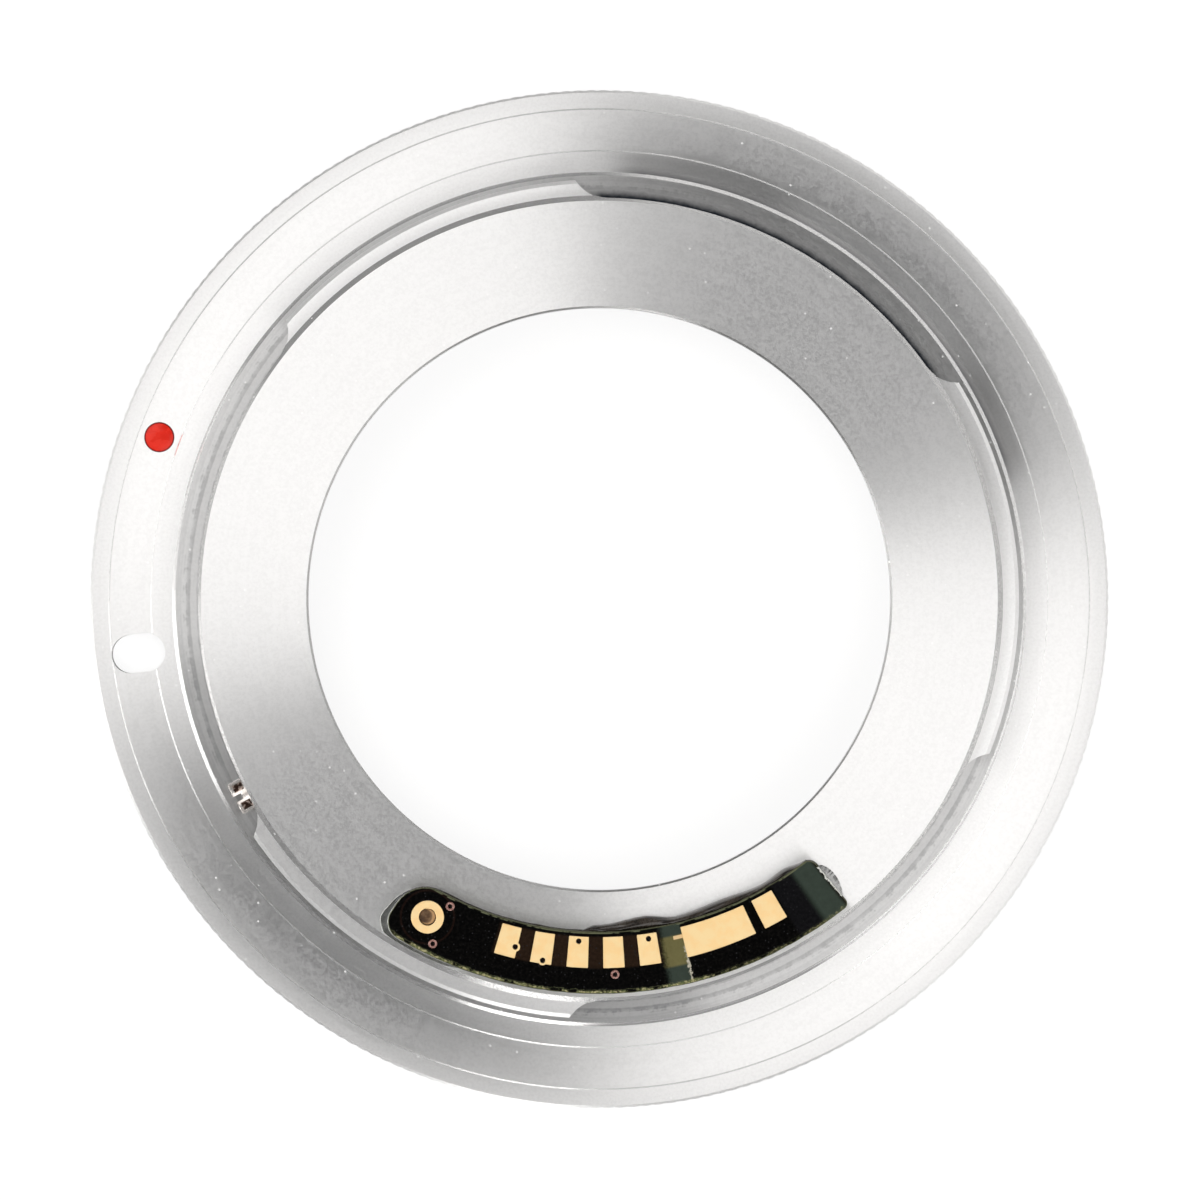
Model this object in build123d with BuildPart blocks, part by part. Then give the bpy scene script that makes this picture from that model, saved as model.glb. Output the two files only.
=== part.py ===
"""Adapter ring that carries a screw-mount lens on a three-tab bayonet camera.

Millimetres. The ring lies on its lens-side face in the plane Z = 0 and its optical
axis is +Z, towards the camera. Angles are in degrees and run anticlockwise from +X
as the camera sees the ring.
"""

import os
from math import acos, asin, cos, degrees, radians, sin

from build123d import *

# Flange that seats on the camera
flange_thickness = 1.46
flange_face_width = 5.25
flange_chamfer = 0.22
seat_land_width = 1.31
rim_land_width = 1.36
land_step = 0.1

# Register boss that centres the ring in the camera's throat
throat_diameter = 54.0
boss_height = 0.8
boss_bevel = 0.25

# Bayonet tabs, the groove below them and the barrel that carries them
tab_clearance = 0.4
tab_reach = 1.1
tab_thickness = 1.4
tab_chamfer = 0.25
tab_spans = ((93.3, 138.3), (214.5, 265.9), (338.4, 391.05))
gap_cutter_radius = 2.6
gap_trim = 0.15
neck_width = 1.0
neck_undercut = 0.15
barrel_rise = 1.6
barrel_chamfer = 0.35

# Lens thread, and the lip behind it that presses the lens's aperture pin
thread_diameter = 42.0
thread_mouth_chamfer = 0.5
relief_depth = 0.15
relief_width = 0.9
lip_thickness = 1.2
lens_hole_diameter = 36.8
lens_hole_chamfer = 0.1

# Slot for the camera's locking pin
lock_slot_angle = 186.7
lock_slot_length = 3.43
lock_slot_width = 2.45
lock_slot_land = 0.66

# Index dot of enamel in a round pit
dot_angle = 159.8
dot_rim_distance = 2.575
dot_diameter = 1.93
dot_pit_depth = 0.6
dot_crown = 0.06

# Rotation stop screw, set radially ahead of the second tab
stop_turn = 5.65
stop_head_diameter = 2.15
stop_head_height = 1.1
stop_head_chamfer = 0.12
stop_slot_width = 0.4
stop_slot_depth = 0.55
stop_shank_diameter = 1.4
stop_shank_length = 1.5
stop_seat_depth = 0.05
stop_seat_clearance = 0.08

# Contact board: its angles below are turns from its start
board_start_angle = 236.3
board_span = 73.0
board_width = 3.9
board_thickness = 1.2
board_edge_margin = 0.3
board_start_inner_corner = 2.1
board_start_outer_corner = 1.2
board_end_inner_corner = 0.7
board_end_outer_corner = 0.35

# Epoxy under the board, and the bead of it squeezed out along the inner edge
epoxy_thickness = 0.15
bead_width = 0.5
bead_height = 0.95
bead_start_turn = 29.7
bead_span = 42.0

# Gold contact pads: a row of narrow ones, a wide one and an end one
pad_thickness = 0.05
pad_length = 1.97
pad_edge_margin = 1.62
pad_first_turn = 18.77
pad_pitch = 5.74
pad_span = 3.37
wide_pad_gap = 4.13
wide_pad_span = 11.3
end_pad_gap = 1.55
end_pad_span = 3.9

# Plated holes: offset outward from the pad row, and turn
plating = 0.04
collar_width = 0.14
pad_via_diameter = 0.34
pad_via_offsets = ((0.27, 1.33), (0.77, 0.26), (-0.68, 0.0), None, (-0.65, 0.2))
small_via_diameter = 0.28
small_via_places = (
    ("via_start_inner", -0.75, 7.8),
    ("via_start_outer", 1.85, 7.9),
    ("via_middle", 1.4, 36.1),
)
locating_ring_offset = 0.5
locating_ring_turn = 5.3
locating_hole_diameter = 1.07
locating_collar_width = 0.505

# Pocket under the board and the electronics in it: turns from the pocket's start
pocket_start_turn = 38.2
pocket_span = 21.5
pocket_depth = 0.85
pocket_edge_margin = 0.65
pocket_width = 2.3
pocket_corner_radius = 0.3
controller_turn = 6.1
controller_size = (2.0, 3.0, 0.75)
controller_edge = 0.06
controller_leads_per_side = 4
controller_lead_size = (0.35, 0.25)
controller_lead_pitch = 0.5
controller_zone = 10.2
capacitor_size = (1.0, 0.5, 0.5)
resistor_size = (1.0, 0.5, 0.35)
resistor_count = 2
end_cap_length = 0.22
solder_gap = 0.02

# Blob of clear glue at the board's end
glue_offset = 0.75
glue_radius = 0.85
glue_height = 0.7
glue_foot = 0.05

# Radii that follow
boss_radius = throat_diameter / 2
boss_foot_radius = boss_radius + boss_bevel
flange_radius = boss_foot_radius + flange_face_width
tab_radius = boss_radius - tab_clearance
barrel_radius = tab_radius - tab_reach
gap_radius = barrel_radius - gap_trim
neck_radius = gap_radius - neck_undercut
thread_radius = thread_diameter / 2
relief_radius = thread_radius + relief_depth
lens_hole_radius = lens_hole_diameter / 2
dot_place_radius = flange_radius - dot_rim_distance
lock_slot_radius = boss_foot_radius + lock_slot_land + lock_slot_length / 2
stop_seat_radius = gap_radius - stop_seat_depth
board_outer_radius = barrel_radius - barrel_chamfer - board_edge_margin
board_inner_radius = board_outer_radius - board_width
pad_outer_radius = board_outer_radius - pad_edge_margin
pad_inner_radius = pad_outer_radius - pad_length
pad_row_radius = (pad_outer_radius + pad_inner_radius) / 2
pocket_outer_radius = board_outer_radius - pocket_edge_margin
pocket_inner_radius = pocket_outer_radius - pocket_width
pocket_row_radius = (pocket_outer_radius + pocket_inner_radius) / 2

# Heights that follow
boss_top = flange_thickness + boss_height
tab_bottom = boss_top + neck_width
tab_top = tab_bottom + tab_thickness
barrel_top = tab_top + barrel_rise
lip_bottom = barrel_top - lip_thickness
thread_end = lip_bottom - relief_width
rim_face_height = flange_thickness - 2 * land_step
dot_pit_floor = flange_thickness - dot_pit_depth
dot_fill_height = dot_pit_depth - land_step
stop_height = (boss_top + tab_top) / 2
board_bottom = barrel_top + epoxy_thickness
board_top = board_bottom + board_thickness
pocket_ceiling = board_bottom + pocket_depth

# Turn from a tab's corner to the centre of the cutter that milled it
cutter_place_radius = gap_radius + gap_cutter_radius
cutter_squares = cutter_place_radius**2 + tab_radius**2 - gap_cutter_radius**2
cutter_turn = degrees(acos(cutter_squares / (2 * cutter_place_radius * tab_radius)))

# Angles that follow
stop_angle = tab_spans[1][0] - stop_turn
board_end_angle = board_start_angle + board_span
pad_count = len(pad_via_offsets)
pad_angles = [board_start_angle + pad_first_turn + pad_pitch * number for number in range(pad_count)]
wide_pad_start = pad_angles[-1] + pad_span / 2 + wide_pad_gap
end_pad_start = wide_pad_start + wide_pad_span + end_pad_gap
pocket_start = board_start_angle + pocket_start_turn
small_chip_count = 1 + resistor_count
small_chip_pitch = (pocket_span - controller_zone) / small_chip_count
first_small_chip = controller_zone + small_chip_pitch / 2
small_chip_turns = [first_small_chip + small_chip_pitch * number for number in range(small_chip_count)]

os.makedirs("parts", exist_ok=True)


def polar_point(radius, angle):
    """Point at a radius and an angle about the optical axis."""
    return (radius * cos(radians(angle)), radius * sin(radians(angle)))


def arc_band(inner_radius, outer_radius, start_angle, span):
    """Face between two arcs about the optical axis."""
    with BuildSketch() as band:
        with BuildLine():
            inner_arc = CenterArc((0, 0), inner_radius, start_angle, span)
            outer_arc = CenterArc((0, 0), outer_radius, start_angle, span)
            Line(inner_arc @ 0, outer_arc @ 0)
            Line(inner_arc @ 1, outer_arc @ 1)
        make_face()
    return band.sketch


def disc(place, radius):
    """Round face at a place, which is a radius and an angle."""
    with BuildSketch() as face:
        with PolarLocations(place[0], 1, place[1]):
            Circle(radius)
    return face.sketch


def crowned_profile(radius, foot, crown):
    """Half section of a round post with a crowned top, for turning about its own axis."""
    crown_radius = (radius**2 + crown**2) / (2 * crown)
    crown_angle = degrees(asin(radius / crown_radius))
    crown_centre = (0, foot + crown - crown_radius)
    with BuildSketch() as profile:
        with BuildLine():
            arc = CenterArc(crown_centre, crown_radius, 90 - crown_angle, crown_angle)
            Polyline(arc @ 1, (0, 0), (radius, 0), arc @ 0)
        make_face()
    return profile.sketch


def circles_at(part, radius, height):
    """Circular edges of a turned part at a radius and a height."""
    circles = part.edges().filter_by(GeomType.CIRCLE)
    level = circles.filter_by_position(Axis.Z, height - 0.001, height + 0.001)
    return level.filter_by(lambda edge: abs(edge.radius - radius) < 0.001)


# Mount ring
stop_direction = (*polar_point(1, stop_angle), 0)
stop_seat = Plane(
    origin=(*polar_point(stop_seat_radius, stop_angle), stop_height),
    x_dir=(0, 0, 1),
    z_dir=stop_direction,
)

with BuildPart() as mount_ring:
    # Turned section
    with BuildSketch(Plane.XZ):
        with BuildLine():
            Polyline(
                (thread_radius, 0),
                (flange_radius, 0),
                (flange_radius, flange_thickness),
                (boss_foot_radius, flange_thickness),
                (boss_radius, flange_thickness + boss_bevel),
                (boss_radius, boss_top),
                (neck_radius, boss_top),
                (neck_radius, tab_bottom),
                (tab_radius, tab_bottom),
                (tab_radius, tab_top),
                (barrel_radius, tab_top),
                (barrel_radius, barrel_top),
                (lens_hole_radius, barrel_top),
                (lens_hole_radius, lip_bottom),
                (relief_radius, lip_bottom),
                (relief_radius, thread_end),
                (thread_radius, thread_end),
                close=True,
            )
        make_face()
    revolve(axis=Axis.Z)

    # Two shallow steps down across the flange's camera face
    for land_radius, drop in (
        (boss_foot_radius + seat_land_width, land_step),
        (flange_radius - rim_land_width, 2 * land_step),
    ):
        with BuildSketch(Plane.XZ):
            with BuildLine():
                Polyline(
                    (land_radius, flange_thickness),
                    (land_radius + drop, flange_thickness - drop),
                    (2 * flange_radius, flange_thickness - drop),
                    (2 * flange_radius, flange_thickness),
                    close=True,
                )
            make_face()
        revolve(axis=Axis.Z, mode=Mode.SUBTRACT)

    # Broken edges
    for edge_radius, edge_height, edge_size in (
        (flange_radius, 0, flange_chamfer),
        (flange_radius, rim_face_height, flange_chamfer),
        (tab_radius, tab_bottom, tab_chamfer),
        (tab_radius, tab_top, tab_chamfer),
        (barrel_radius, barrel_top, barrel_chamfer),
        (lens_hole_radius, barrel_top, lens_hole_chamfer),
        (lens_hole_radius, lip_bottom, lens_hole_chamfer),
        (thread_radius, 0, thread_mouth_chamfer),
    ):
        chamfer(circles_at(mount_ring, edge_radius, edge_height), edge_size)

    # Gaps between the tabs, milled a little into the barrel, with the cutter's round ends
    following_spans = (*tab_spans[1:], (tab_spans[0][0] + 360, tab_spans[0][1] + 360))
    for tab_span, following_span in zip(tab_spans, following_spans):
        gap_start = tab_span[1] + cutter_turn
        gap_end = following_span[0] - cutter_turn
        with BuildSketch(Plane.XY.offset(boss_top)):
            add(arc_band(gap_radius, gap_radius + 2 * gap_cutter_radius, gap_start, gap_end - gap_start))
            add(disc((cutter_place_radius, gap_start), gap_cutter_radius))
            add(disc((cutter_place_radius, gap_end), gap_cutter_radius))
        extrude(amount=barrel_top - boss_top, mode=Mode.SUBTRACT)

    # Slot for the locking pin, through the flange
    with BuildSketch():
        with PolarLocations(lock_slot_radius, 1, lock_slot_angle):
            SlotOverall(lock_slot_length, lock_slot_width)
    extrude(amount=flange_thickness, mode=Mode.SUBTRACT)

    # Pit for the index dot
    with BuildSketch(Plane.XY.offset(dot_pit_floor)):
        add(disc((dot_place_radius, dot_angle), dot_diameter / 2))
    extrude(amount=dot_pit_depth, mode=Mode.SUBTRACT)

    # Spot face and tapped hole for the stop screw
    with BuildSketch(stop_seat):
        Circle(stop_head_diameter / 2 + stop_seat_clearance)
    extrude(amount=stop_head_height, mode=Mode.SUBTRACT)
    with BuildSketch(stop_seat):
        Circle(stop_shank_diameter / 2)
    extrude(amount=-stop_shank_length, mode=Mode.SUBTRACT)

mount_ring.part.label = "mount_ring"
export_step(mount_ring.part, "parts/mount_ring.step")


# Red index dot
dot_point = polar_point(dot_place_radius, dot_angle)

with BuildPart() as red_index_dot:
    with BuildSketch(Plane(origin=(*dot_point, dot_pit_floor), x_dir=(1, 0, 0), z_dir=(0, -1, 0))):
        add(crowned_profile(dot_diameter / 2, dot_fill_height, dot_crown))
    revolve(axis=Axis((*dot_point, 0), (0, 0, 1)))

red_index_dot.part.label = "red_index_dot"
export_step(red_index_dot.part, "parts/red_index_dot.step")


# Stop screw
with BuildPart() as stop_screw:
    with BuildSketch(stop_seat):
        Circle(stop_head_diameter / 2)
    extrude(amount=stop_head_height)
    head_face = stop_screw.faces().sort_by(Axis((0, 0, 0), stop_direction))[-1]
    chamfer(head_face.edges(), stop_head_chamfer)
    with BuildSketch(stop_seat):
        Circle(stop_shank_diameter / 2)
    extrude(amount=-stop_shank_length)
    with BuildSketch(stop_seat.offset(stop_head_height)):
        Rectangle(2 * stop_head_diameter, stop_slot_width)
    extrude(amount=-stop_slot_depth, mode=Mode.SUBTRACT)

stop_screw.part.label = "stop_screw"
export_step(stop_screw.part, "parts/stop_screw.step")


# Contact board
pad_vias = [
    (pad_row_radius + offset[0], angle + offset[1]) if offset else None
    for angle, offset in zip(pad_angles, pad_via_offsets)
]
small_vias = [
    (name, (pad_row_radius + offset, board_start_angle + turn))
    for name, offset, turn in small_via_places
]
locating_place = (pad_row_radius + locating_ring_offset, board_start_angle + locating_ring_turn)
drilled_holes = [(place, pad_via_diameter / 2) for place in pad_vias if place]
drilled_holes += [(place, small_via_diameter / 2) for name, place in small_vias]
drilled_holes.append((locating_place, locating_hole_diameter / 2))

with BuildSketch() as board_outline:
    add(arc_band(board_inner_radius, board_outer_radius, board_start_angle, board_span))
    for side_radius, end_angle, corner_radius in (
        (board_inner_radius, board_start_angle, board_start_inner_corner),
        (board_outer_radius, board_start_angle, board_start_outer_corner),
        (board_inner_radius, board_end_angle, board_end_inner_corner),
        (board_outer_radius, board_end_angle, board_end_outer_corner),
    ):
        corner = (*polar_point(side_radius, end_angle), 0)
        fillet(board_outline.vertices().sort_by_distance(corner)[0], corner_radius)

with BuildSketch() as pocket_outline:
    add(arc_band(pocket_inner_radius, pocket_outer_radius, pocket_start, pocket_span))
    fillet(pocket_outline.vertices(), pocket_corner_radius)

with BuildPart() as chip_board:
    with BuildSketch(Plane.XY.offset(board_bottom)):
        add(board_outline.sketch)
    extrude(amount=board_thickness)
    with BuildSketch(Plane.XY.offset(board_bottom)):
        add(pocket_outline.sketch)
    extrude(amount=pocket_depth, mode=Mode.SUBTRACT)
    with BuildSketch(Plane.XY.offset(board_bottom)):
        for place, hole_radius in drilled_holes:
            add(disc(place, hole_radius + plating))
    extrude(amount=board_thickness, mode=Mode.SUBTRACT)

chip_board.part.label = "chip_board"
export_step(chip_board.part, "parts/chip_board.step")


# Gold: a face on the board, and the plated wall of the hole that goes with it
def gold_piece(name, face, via_place=None, hole_radius=0.0, collar=0.0):
    """Pad or ring of plated gold, with the wall of its hole where it has one."""
    with BuildPart() as gold:
        with BuildSketch(Plane.XY.offset(board_top)):
            if face:
                add(face)
            if via_place:
                add(disc(via_place, hole_radius + collar))
        extrude(amount=pad_thickness)
        if via_place:
            with BuildSketch(Plane.XY.offset(board_bottom)):
                add(disc(via_place, hole_radius + plating))
            extrude(amount=board_thickness)
            with BuildSketch(Plane.XY.offset(board_bottom)):
                add(disc(via_place, hole_radius))
            extrude(amount=board_thickness + pad_thickness, mode=Mode.SUBTRACT)
    gold.part.label = name
    export_step(gold.part, f"parts/{name}.step")


def pad_face(start_angle, span):
    """Outline of one pad."""
    return arc_band(pad_inner_radius, pad_outer_radius, start_angle, span)


for number, (angle, via_place) in enumerate(zip(pad_angles, pad_vias), start=1):
    narrow_face = pad_face(angle - pad_span / 2, pad_span)
    gold_piece(f"contact_pad_{number}", narrow_face, via_place, pad_via_diameter / 2, collar_width)

gold_piece("contact_pad_wide", pad_face(wide_pad_start, wide_pad_span))
gold_piece("contact_pad_end", pad_face(end_pad_start, end_pad_span))

for name, place in small_vias:
    gold_piece(name, None, place, small_via_diameter / 2, collar_width)

gold_piece("locating_ring", None, locating_place, locating_hole_diameter / 2, locating_collar_width)


# Electronics, soldered to the ceiling of the pocket
def pocket_place(turn):
    """Plane on the pocket's ceiling, its x direction pointing outward."""
    angle = pocket_start + turn
    return Plane(
        origin=(*polar_point(pocket_row_radius, angle), pocket_ceiling),
        x_dir=(*polar_point(1, angle), 0),
        z_dir=(0, 0, 1),
    )


def end_capped_chip(turn, size):
    """Two-terminal chip: a body between two metal end caps."""
    length, width, height = size
    with BuildPart(pocket_place(turn)) as chip:
        with Locations((0, 0, -solder_gap)):
            body_height = height - 2 * solder_gap
            Box(length, width - 2 * solder_gap, body_height, align=(Align.CENTER, Align.CENTER, Align.MAX))
        with GridLocations(length - end_cap_length, 0, 2, 1):
            Box(end_cap_length, width, height, align=(Align.CENTER, Align.CENTER, Align.MAX))
    return chip.part


with BuildPart(pocket_place(controller_turn)) as microcontroller:
    with Locations((0, 0, -solder_gap)):
        Box(
            controller_size[0],
            controller_size[1],
            controller_size[2] - solder_gap,
            align=(Align.CENTER, Align.CENTER, Align.MAX),
        )
    chamfer(microcontroller.faces().sort_by(Axis.Z)[0].edges(), controller_edge)
    lead_row = controller_size[0] - controller_lead_size[0]
    with GridLocations(lead_row, controller_lead_pitch, 2, controller_leads_per_side):
        Box(*controller_lead_size, solder_gap, align=(Align.CENTER, Align.CENTER, Align.MAX))

microcontroller.part.label = "microcontroller"
export_step(microcontroller.part, "parts/microcontroller.step")

bypass_capacitor = end_capped_chip(small_chip_turns[0], capacitor_size)
bypass_capacitor.label = "bypass_capacitor"
export_step(bypass_capacitor, "parts/bypass_capacitor.step")

resistors = [end_capped_chip(turn, resistor_size) for turn in small_chip_turns[1:]]
for number, resistor in enumerate(resistors, start=1):
    resistor.label = f"pull_up_resistor_{number}"
    export_step(resistor, f"parts/pull_up_resistor_{number}.step")


# Potting that fills the pocket round the electronics
with BuildPart() as pocket_potting:
    with BuildSketch(Plane.XY.offset(board_bottom)):
        add(pocket_outline.sketch)
    extrude(amount=pocket_depth)
    add([microcontroller.part, bypass_capacitor, *resistors], mode=Mode.SUBTRACT)

pocket_potting.part.label = "pocket_potting"
export_step(pocket_potting.part, "parts/pocket_potting.step")


# Epoxy bed under the board, with the bead at its inner edge
bead_start = board_start_angle + bead_start_turn
bead_plane = Plane(
    origin=(0, 0, barrel_top),
    x_dir=(*polar_point(1, bead_start), 0),
    z_dir=(*polar_point(1, bead_start - 90), 0),
)

with BuildPart() as epoxy_bed:
    with BuildSketch(Plane.XY.offset(barrel_top)):
        add(board_outline.sketch)
    extrude(amount=epoxy_thickness)
    with BuildSketch(bead_plane):
        with BuildLine():
            bead_root = (board_inner_radius, 0)
            slope = EllipticalCenterArc(bead_root, bead_width, bead_height, 90, arc_size=90)
            Polyline(slope @ 1, bead_root, slope @ 0)
        make_face()
    revolve(axis=Axis.Z, revolution_arc=bead_span)

epoxy_bed.part.label = "epoxy_bed"
export_step(epoxy_bed.part, "parts/epoxy_bed.step")


# Clear glue at the board's end
glue_point = polar_point(pad_row_radius + glue_offset, board_end_angle)

with BuildPart() as end_glue:
    with BuildSketch(Plane(origin=(*glue_point, barrel_top), x_dir=(1, 0, 0), z_dir=(0, -1, 0))):
        add(crowned_profile(glue_radius, glue_foot, glue_height))
    revolve(axis=Axis((*glue_point, 0), (0, 0, 1)))
    add([chip_board.part, epoxy_bed.part], mode=Mode.SUBTRACT)

end_glue.part.label = "end_glue"
export_step(end_glue.part, "parts/end_glue.step")
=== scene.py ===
from math import acos, asin, atan2, ceil, cos, degrees, hypot, pi, radians, sin, sqrt

import bmesh
import bpy
from mathutils import Matrix, Vector, noise


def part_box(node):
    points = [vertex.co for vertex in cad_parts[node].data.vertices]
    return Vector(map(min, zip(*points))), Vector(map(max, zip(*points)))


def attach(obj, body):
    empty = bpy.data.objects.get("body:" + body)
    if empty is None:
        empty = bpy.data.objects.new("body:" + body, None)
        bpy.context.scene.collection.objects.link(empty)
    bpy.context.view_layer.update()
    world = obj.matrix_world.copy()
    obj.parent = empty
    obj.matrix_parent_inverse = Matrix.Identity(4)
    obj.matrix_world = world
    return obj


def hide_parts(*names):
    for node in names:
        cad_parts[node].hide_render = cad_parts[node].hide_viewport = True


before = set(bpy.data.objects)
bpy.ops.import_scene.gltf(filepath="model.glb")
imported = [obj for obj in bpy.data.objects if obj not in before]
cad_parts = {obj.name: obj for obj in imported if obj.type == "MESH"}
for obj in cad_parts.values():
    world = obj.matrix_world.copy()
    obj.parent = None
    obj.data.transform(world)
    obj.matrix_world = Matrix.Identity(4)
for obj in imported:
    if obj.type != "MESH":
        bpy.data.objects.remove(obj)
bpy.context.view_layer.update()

# Lengths below are millimetres and angles are degrees anticlockwise from +X, as the
# camera sees the ring. Meshes are scaled to metres when they are made.
MM = 0.001


def size_of(node):
    """Lowest and highest corner of a node, in millimetres."""
    low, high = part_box(node)
    return low / MM, high / MM


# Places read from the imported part
ring_high = size_of("mount_ring")[1]
board_low, board_high = size_of("chip_board")
FLANGE_RADIUS = ring_high.x
BARREL_TOP = ring_high.z
BOARD_BOTTOM = board_low.z
BOARD_TOP = board_high.z
GOLD_TOP = size_of("contact_pad_wide")[1].z
DOT_TOP = size_of("red_index_dot")[1].z

# Flange, boss and bayonet
FLANGE_THICKNESS = 1.46
RIM_CHAMFER = 0.17
SEAT_LAND_RADIUS = 28.56
RIM_LAND_RADIUS = 31.14
LAND_STEP = 0.1
RIM_FACE = FLANGE_THICKNESS - 2 * LAND_STEP
BOSS_FOOT_RADIUS = 27.25
BOSS_RADIUS = 27.0
BOSS_BEVEL_RISE = 0.24
BOSS_EDGE = 0.02
BOSS_TOP = 2.26
NECK_RADIUS = 25.2
TAB_RADIUS = 26.6
TAB_BOTTOM = 3.26
TAB_TOP = 4.66
TAB_CHAMFER = 0.25
BARREL_RADIUS = 25.5
BARREL_CHAMFER = 0.35
GAP_RADIUS = 25.35
TAB_SPANS = ((93.3, 138.3), (214.5, 265.9), (338.4, 391.05))
GAP_CUTTER = 2.6
HOLE_RADIUS = 18.4
HOLE_CHAMFER = 0.1
LIP_BOTTOM = 5.06
RELIEF_RADIUS = 21.15
THREAD_END = 4.16
THREAD_RADIUS = 21.0
THREAD_MOUTH = 0.5
KNURL_TEETH = 250
KNURL_DEPTH = 0.045
KNURL_LAND_SHARE = 0.3
KNURL_ROOT_SHARE = 0.65

# Slot, dot and screw in the flange and barrel
SLOT_PLACE = (29.625, 186.7)
SLOT_SIZE = (3.43, 2.45)
DOT_PLACE = (29.925, 159.8)
DOT_RADIUS = 0.965
DOT_FLOOR = 0.86
SCREW_ANGLE = 208.85
SCREW_HEIGHT = 3.46
SCREW_SEAT = 25.3
SCREW_HEAD = (1.075, 1.1)
SCREW_SHANK = (0.7, 1.5)
SCREW_SLOT = (0.4, 0.55)
SPOT_FACE_GAP = 0.08

# Heights between which the flange's cutters reach, and how far two cutters overlap
CUTTER_LOW = -1.0
CUTTER_HIGH = 3.0
CUTTER_LAP = 0.02

# Contact board
BOARD_SPAN = (236.3, 309.3)
BOARD_INNER = 20.95
BOARD_OUTER = 24.85
BOARD_MIDDLE = (BOARD_INNER + BOARD_OUTER) / 2
BOARD_CORNERS = (1.2, 0.35, 0.7, 2.1)
PAD_INNER = 21.26
PAD_OUTER = 23.23
PAD_ROW = (PAD_INNER + PAD_OUTER) / 2
NARROW_PADS = tuple(255.07 + 5.74 * number for number in range(5))
NARROW_HALF_SPAN = 1.685
WIDE_PAD = (283.845, 295.145)
END_PAD = (296.695, 300.595)
PAD_HOLES = ((0.27, 1.33), (0.77, 0.26), (-0.68, 0.0), None, (-0.65, 0.2))
HOLE_WALL = 0.04
HOLE_COLLAR = 0.14
PAD_HOLE_RADIUS = 0.17
SMALL_HOLE_RADIUS = 0.14
SMALL_HOLES = {
    "via_start_inner": (-0.75, 7.8),
    "via_start_outer": (1.85, 7.9),
    "via_middle": (1.4, 36.1),
}
LOCATING_RING = (PAD_ROW + 0.5, BOARD_SPAN[0] + 5.3)
LOCATING_HOLE_RADIUS = 0.535
LOCATING_COLLAR = 0.505
TRACE_TAB = (21.72, 21.95, 282.3, 283.95)
WINDOW_START = (279.8, 281.1)
WINDOW_END = 283.95
BARE_END = (304.4, 305.8)

# Painted shade on the ring: start and end angle, and strength where there is one
FLANGE_PAINTED_SHADE = (17, 87)
FLANGE_SHADE_BREAK = (34, 64)
BEVEL_PAINTED_SHADE = ((140, 166, 0.3), (268, 303, 0.55), (303, 357, 0.25))
GROOVE_PAINTED_SHADE = ((188, 208, 0.22), (264, 284, 0.32))
GROOVE_WALL_SHADOW = (33, 91)

# Epoxy bead and clear glue
BEAD_FOOT = ((266.2, 20.98), (269.3, 20.57), (277.8, 20.2), (283.5, 20.57), (291.5, 20.44), (300.0, 20.69),
             (304.0, 20.6), (308.4, 20.97))
BEAD_RISE = ((266.2, 0.3), (271.0, 0.6), (280.0, 0.75), (286.0, 1.0), (308.4, 1.02))
START_GLUE_SPAN = (250.6, 237.6)
START_GLUE_WIDTH = 0.52
GLUE_LIMIT = 25.14
END_GLUE_SPAN = (21.75, 24.15)
END_GLUE_REACH = 0.5


def polar(radius, angle, height=None):
    """Point at a radius and an angle, with a height where one is given."""
    x, y = radius * cos(radians(angle)), radius * sin(radians(angle))
    return (x, y) if height is None else (x, y, height)


def blend(low, high, value):
    """Smooth step from 0 at low to 1 at high."""
    share = min(max((value - low) / (high - low), 0), 1)
    return share * share * (3 - 2 * share)


def rough(point, scale, seed=0):
    """Smooth noise from -1 to 1 at a point in millimetres, for lumps this many millimetres apart."""
    return noise.noise(Vector(point) / scale + Vector((seed, 7.3 * seed, 0)))


# Meshes
def finish_mesh(bm, name, slot, replaced=(), sharp=30.0, weld=1e-4):
    """Object made from a bmesh in millimetres, that rides on the ring."""
    bmesh.ops.remove_doubles(bm, verts=bm.verts, dist=weld)
    bmesh.ops.dissolve_degenerate(bm, edges=bm.edges, dist=weld)
    bmesh.ops.recalc_face_normals(bm, faces=bm.faces)
    mesh = bpy.data.meshes.new(name)
    bm.to_mesh(mesh)
    bm.free()
    mesh.transform(Matrix.Scale(MM, 4))
    mesh.shade_smooth()
    mesh.set_sharp_from_angle(angle=radians(sharp))
    piece = bpy.data.objects.new(name, mesh)
    bpy.context.scene.collection.objects.link(piece)
    if slot:
        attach(piece, "root")
    if replaced:
        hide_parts(*replaced)
    return piece


def bridge(bm, first, second):
    """Quads between two closed rows of vertices."""
    for i in range(len(first)):
        j = (i + 1) % len(first)
        bm.faces.new((first[i], first[j], second[j], second[i]))


def skin(bm, rows, closed=False):
    """Quads from row to row of vertices, back to the first row or with both ends capped."""
    for first, second in zip(rows, rows[1:]):
        bridge(bm, first, second)
    if closed:
        bridge(bm, rows[-1], rows[0])
    else:
        bm.faces.new(rows[0][::-1])
        bm.faces.new(rows[-1])


def turned(bm, sections, closed=True):
    """Skin over sections, each a closed loop of points, one after another round the axis."""
    skin(bm, [[bm.verts.new(point) for point in section] for section in sections], closed)


def at_angle(section, angle):
    """Points of a section of radius and height that stands at an angle."""
    return [polar(radius, angle, height) for radius, height in section]


def lathe(bm, section, place=(0, 0), steps=48):
    """Ring turned from a closed section of radius and height, about an upright axis at a place."""
    rings = [at_angle(section, 360 * i / steps) for i in range(steps)]
    turned(bm, [[(place[0] + x, place[1] + y, z) for x, y, z in ring] for ring in rings])


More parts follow.
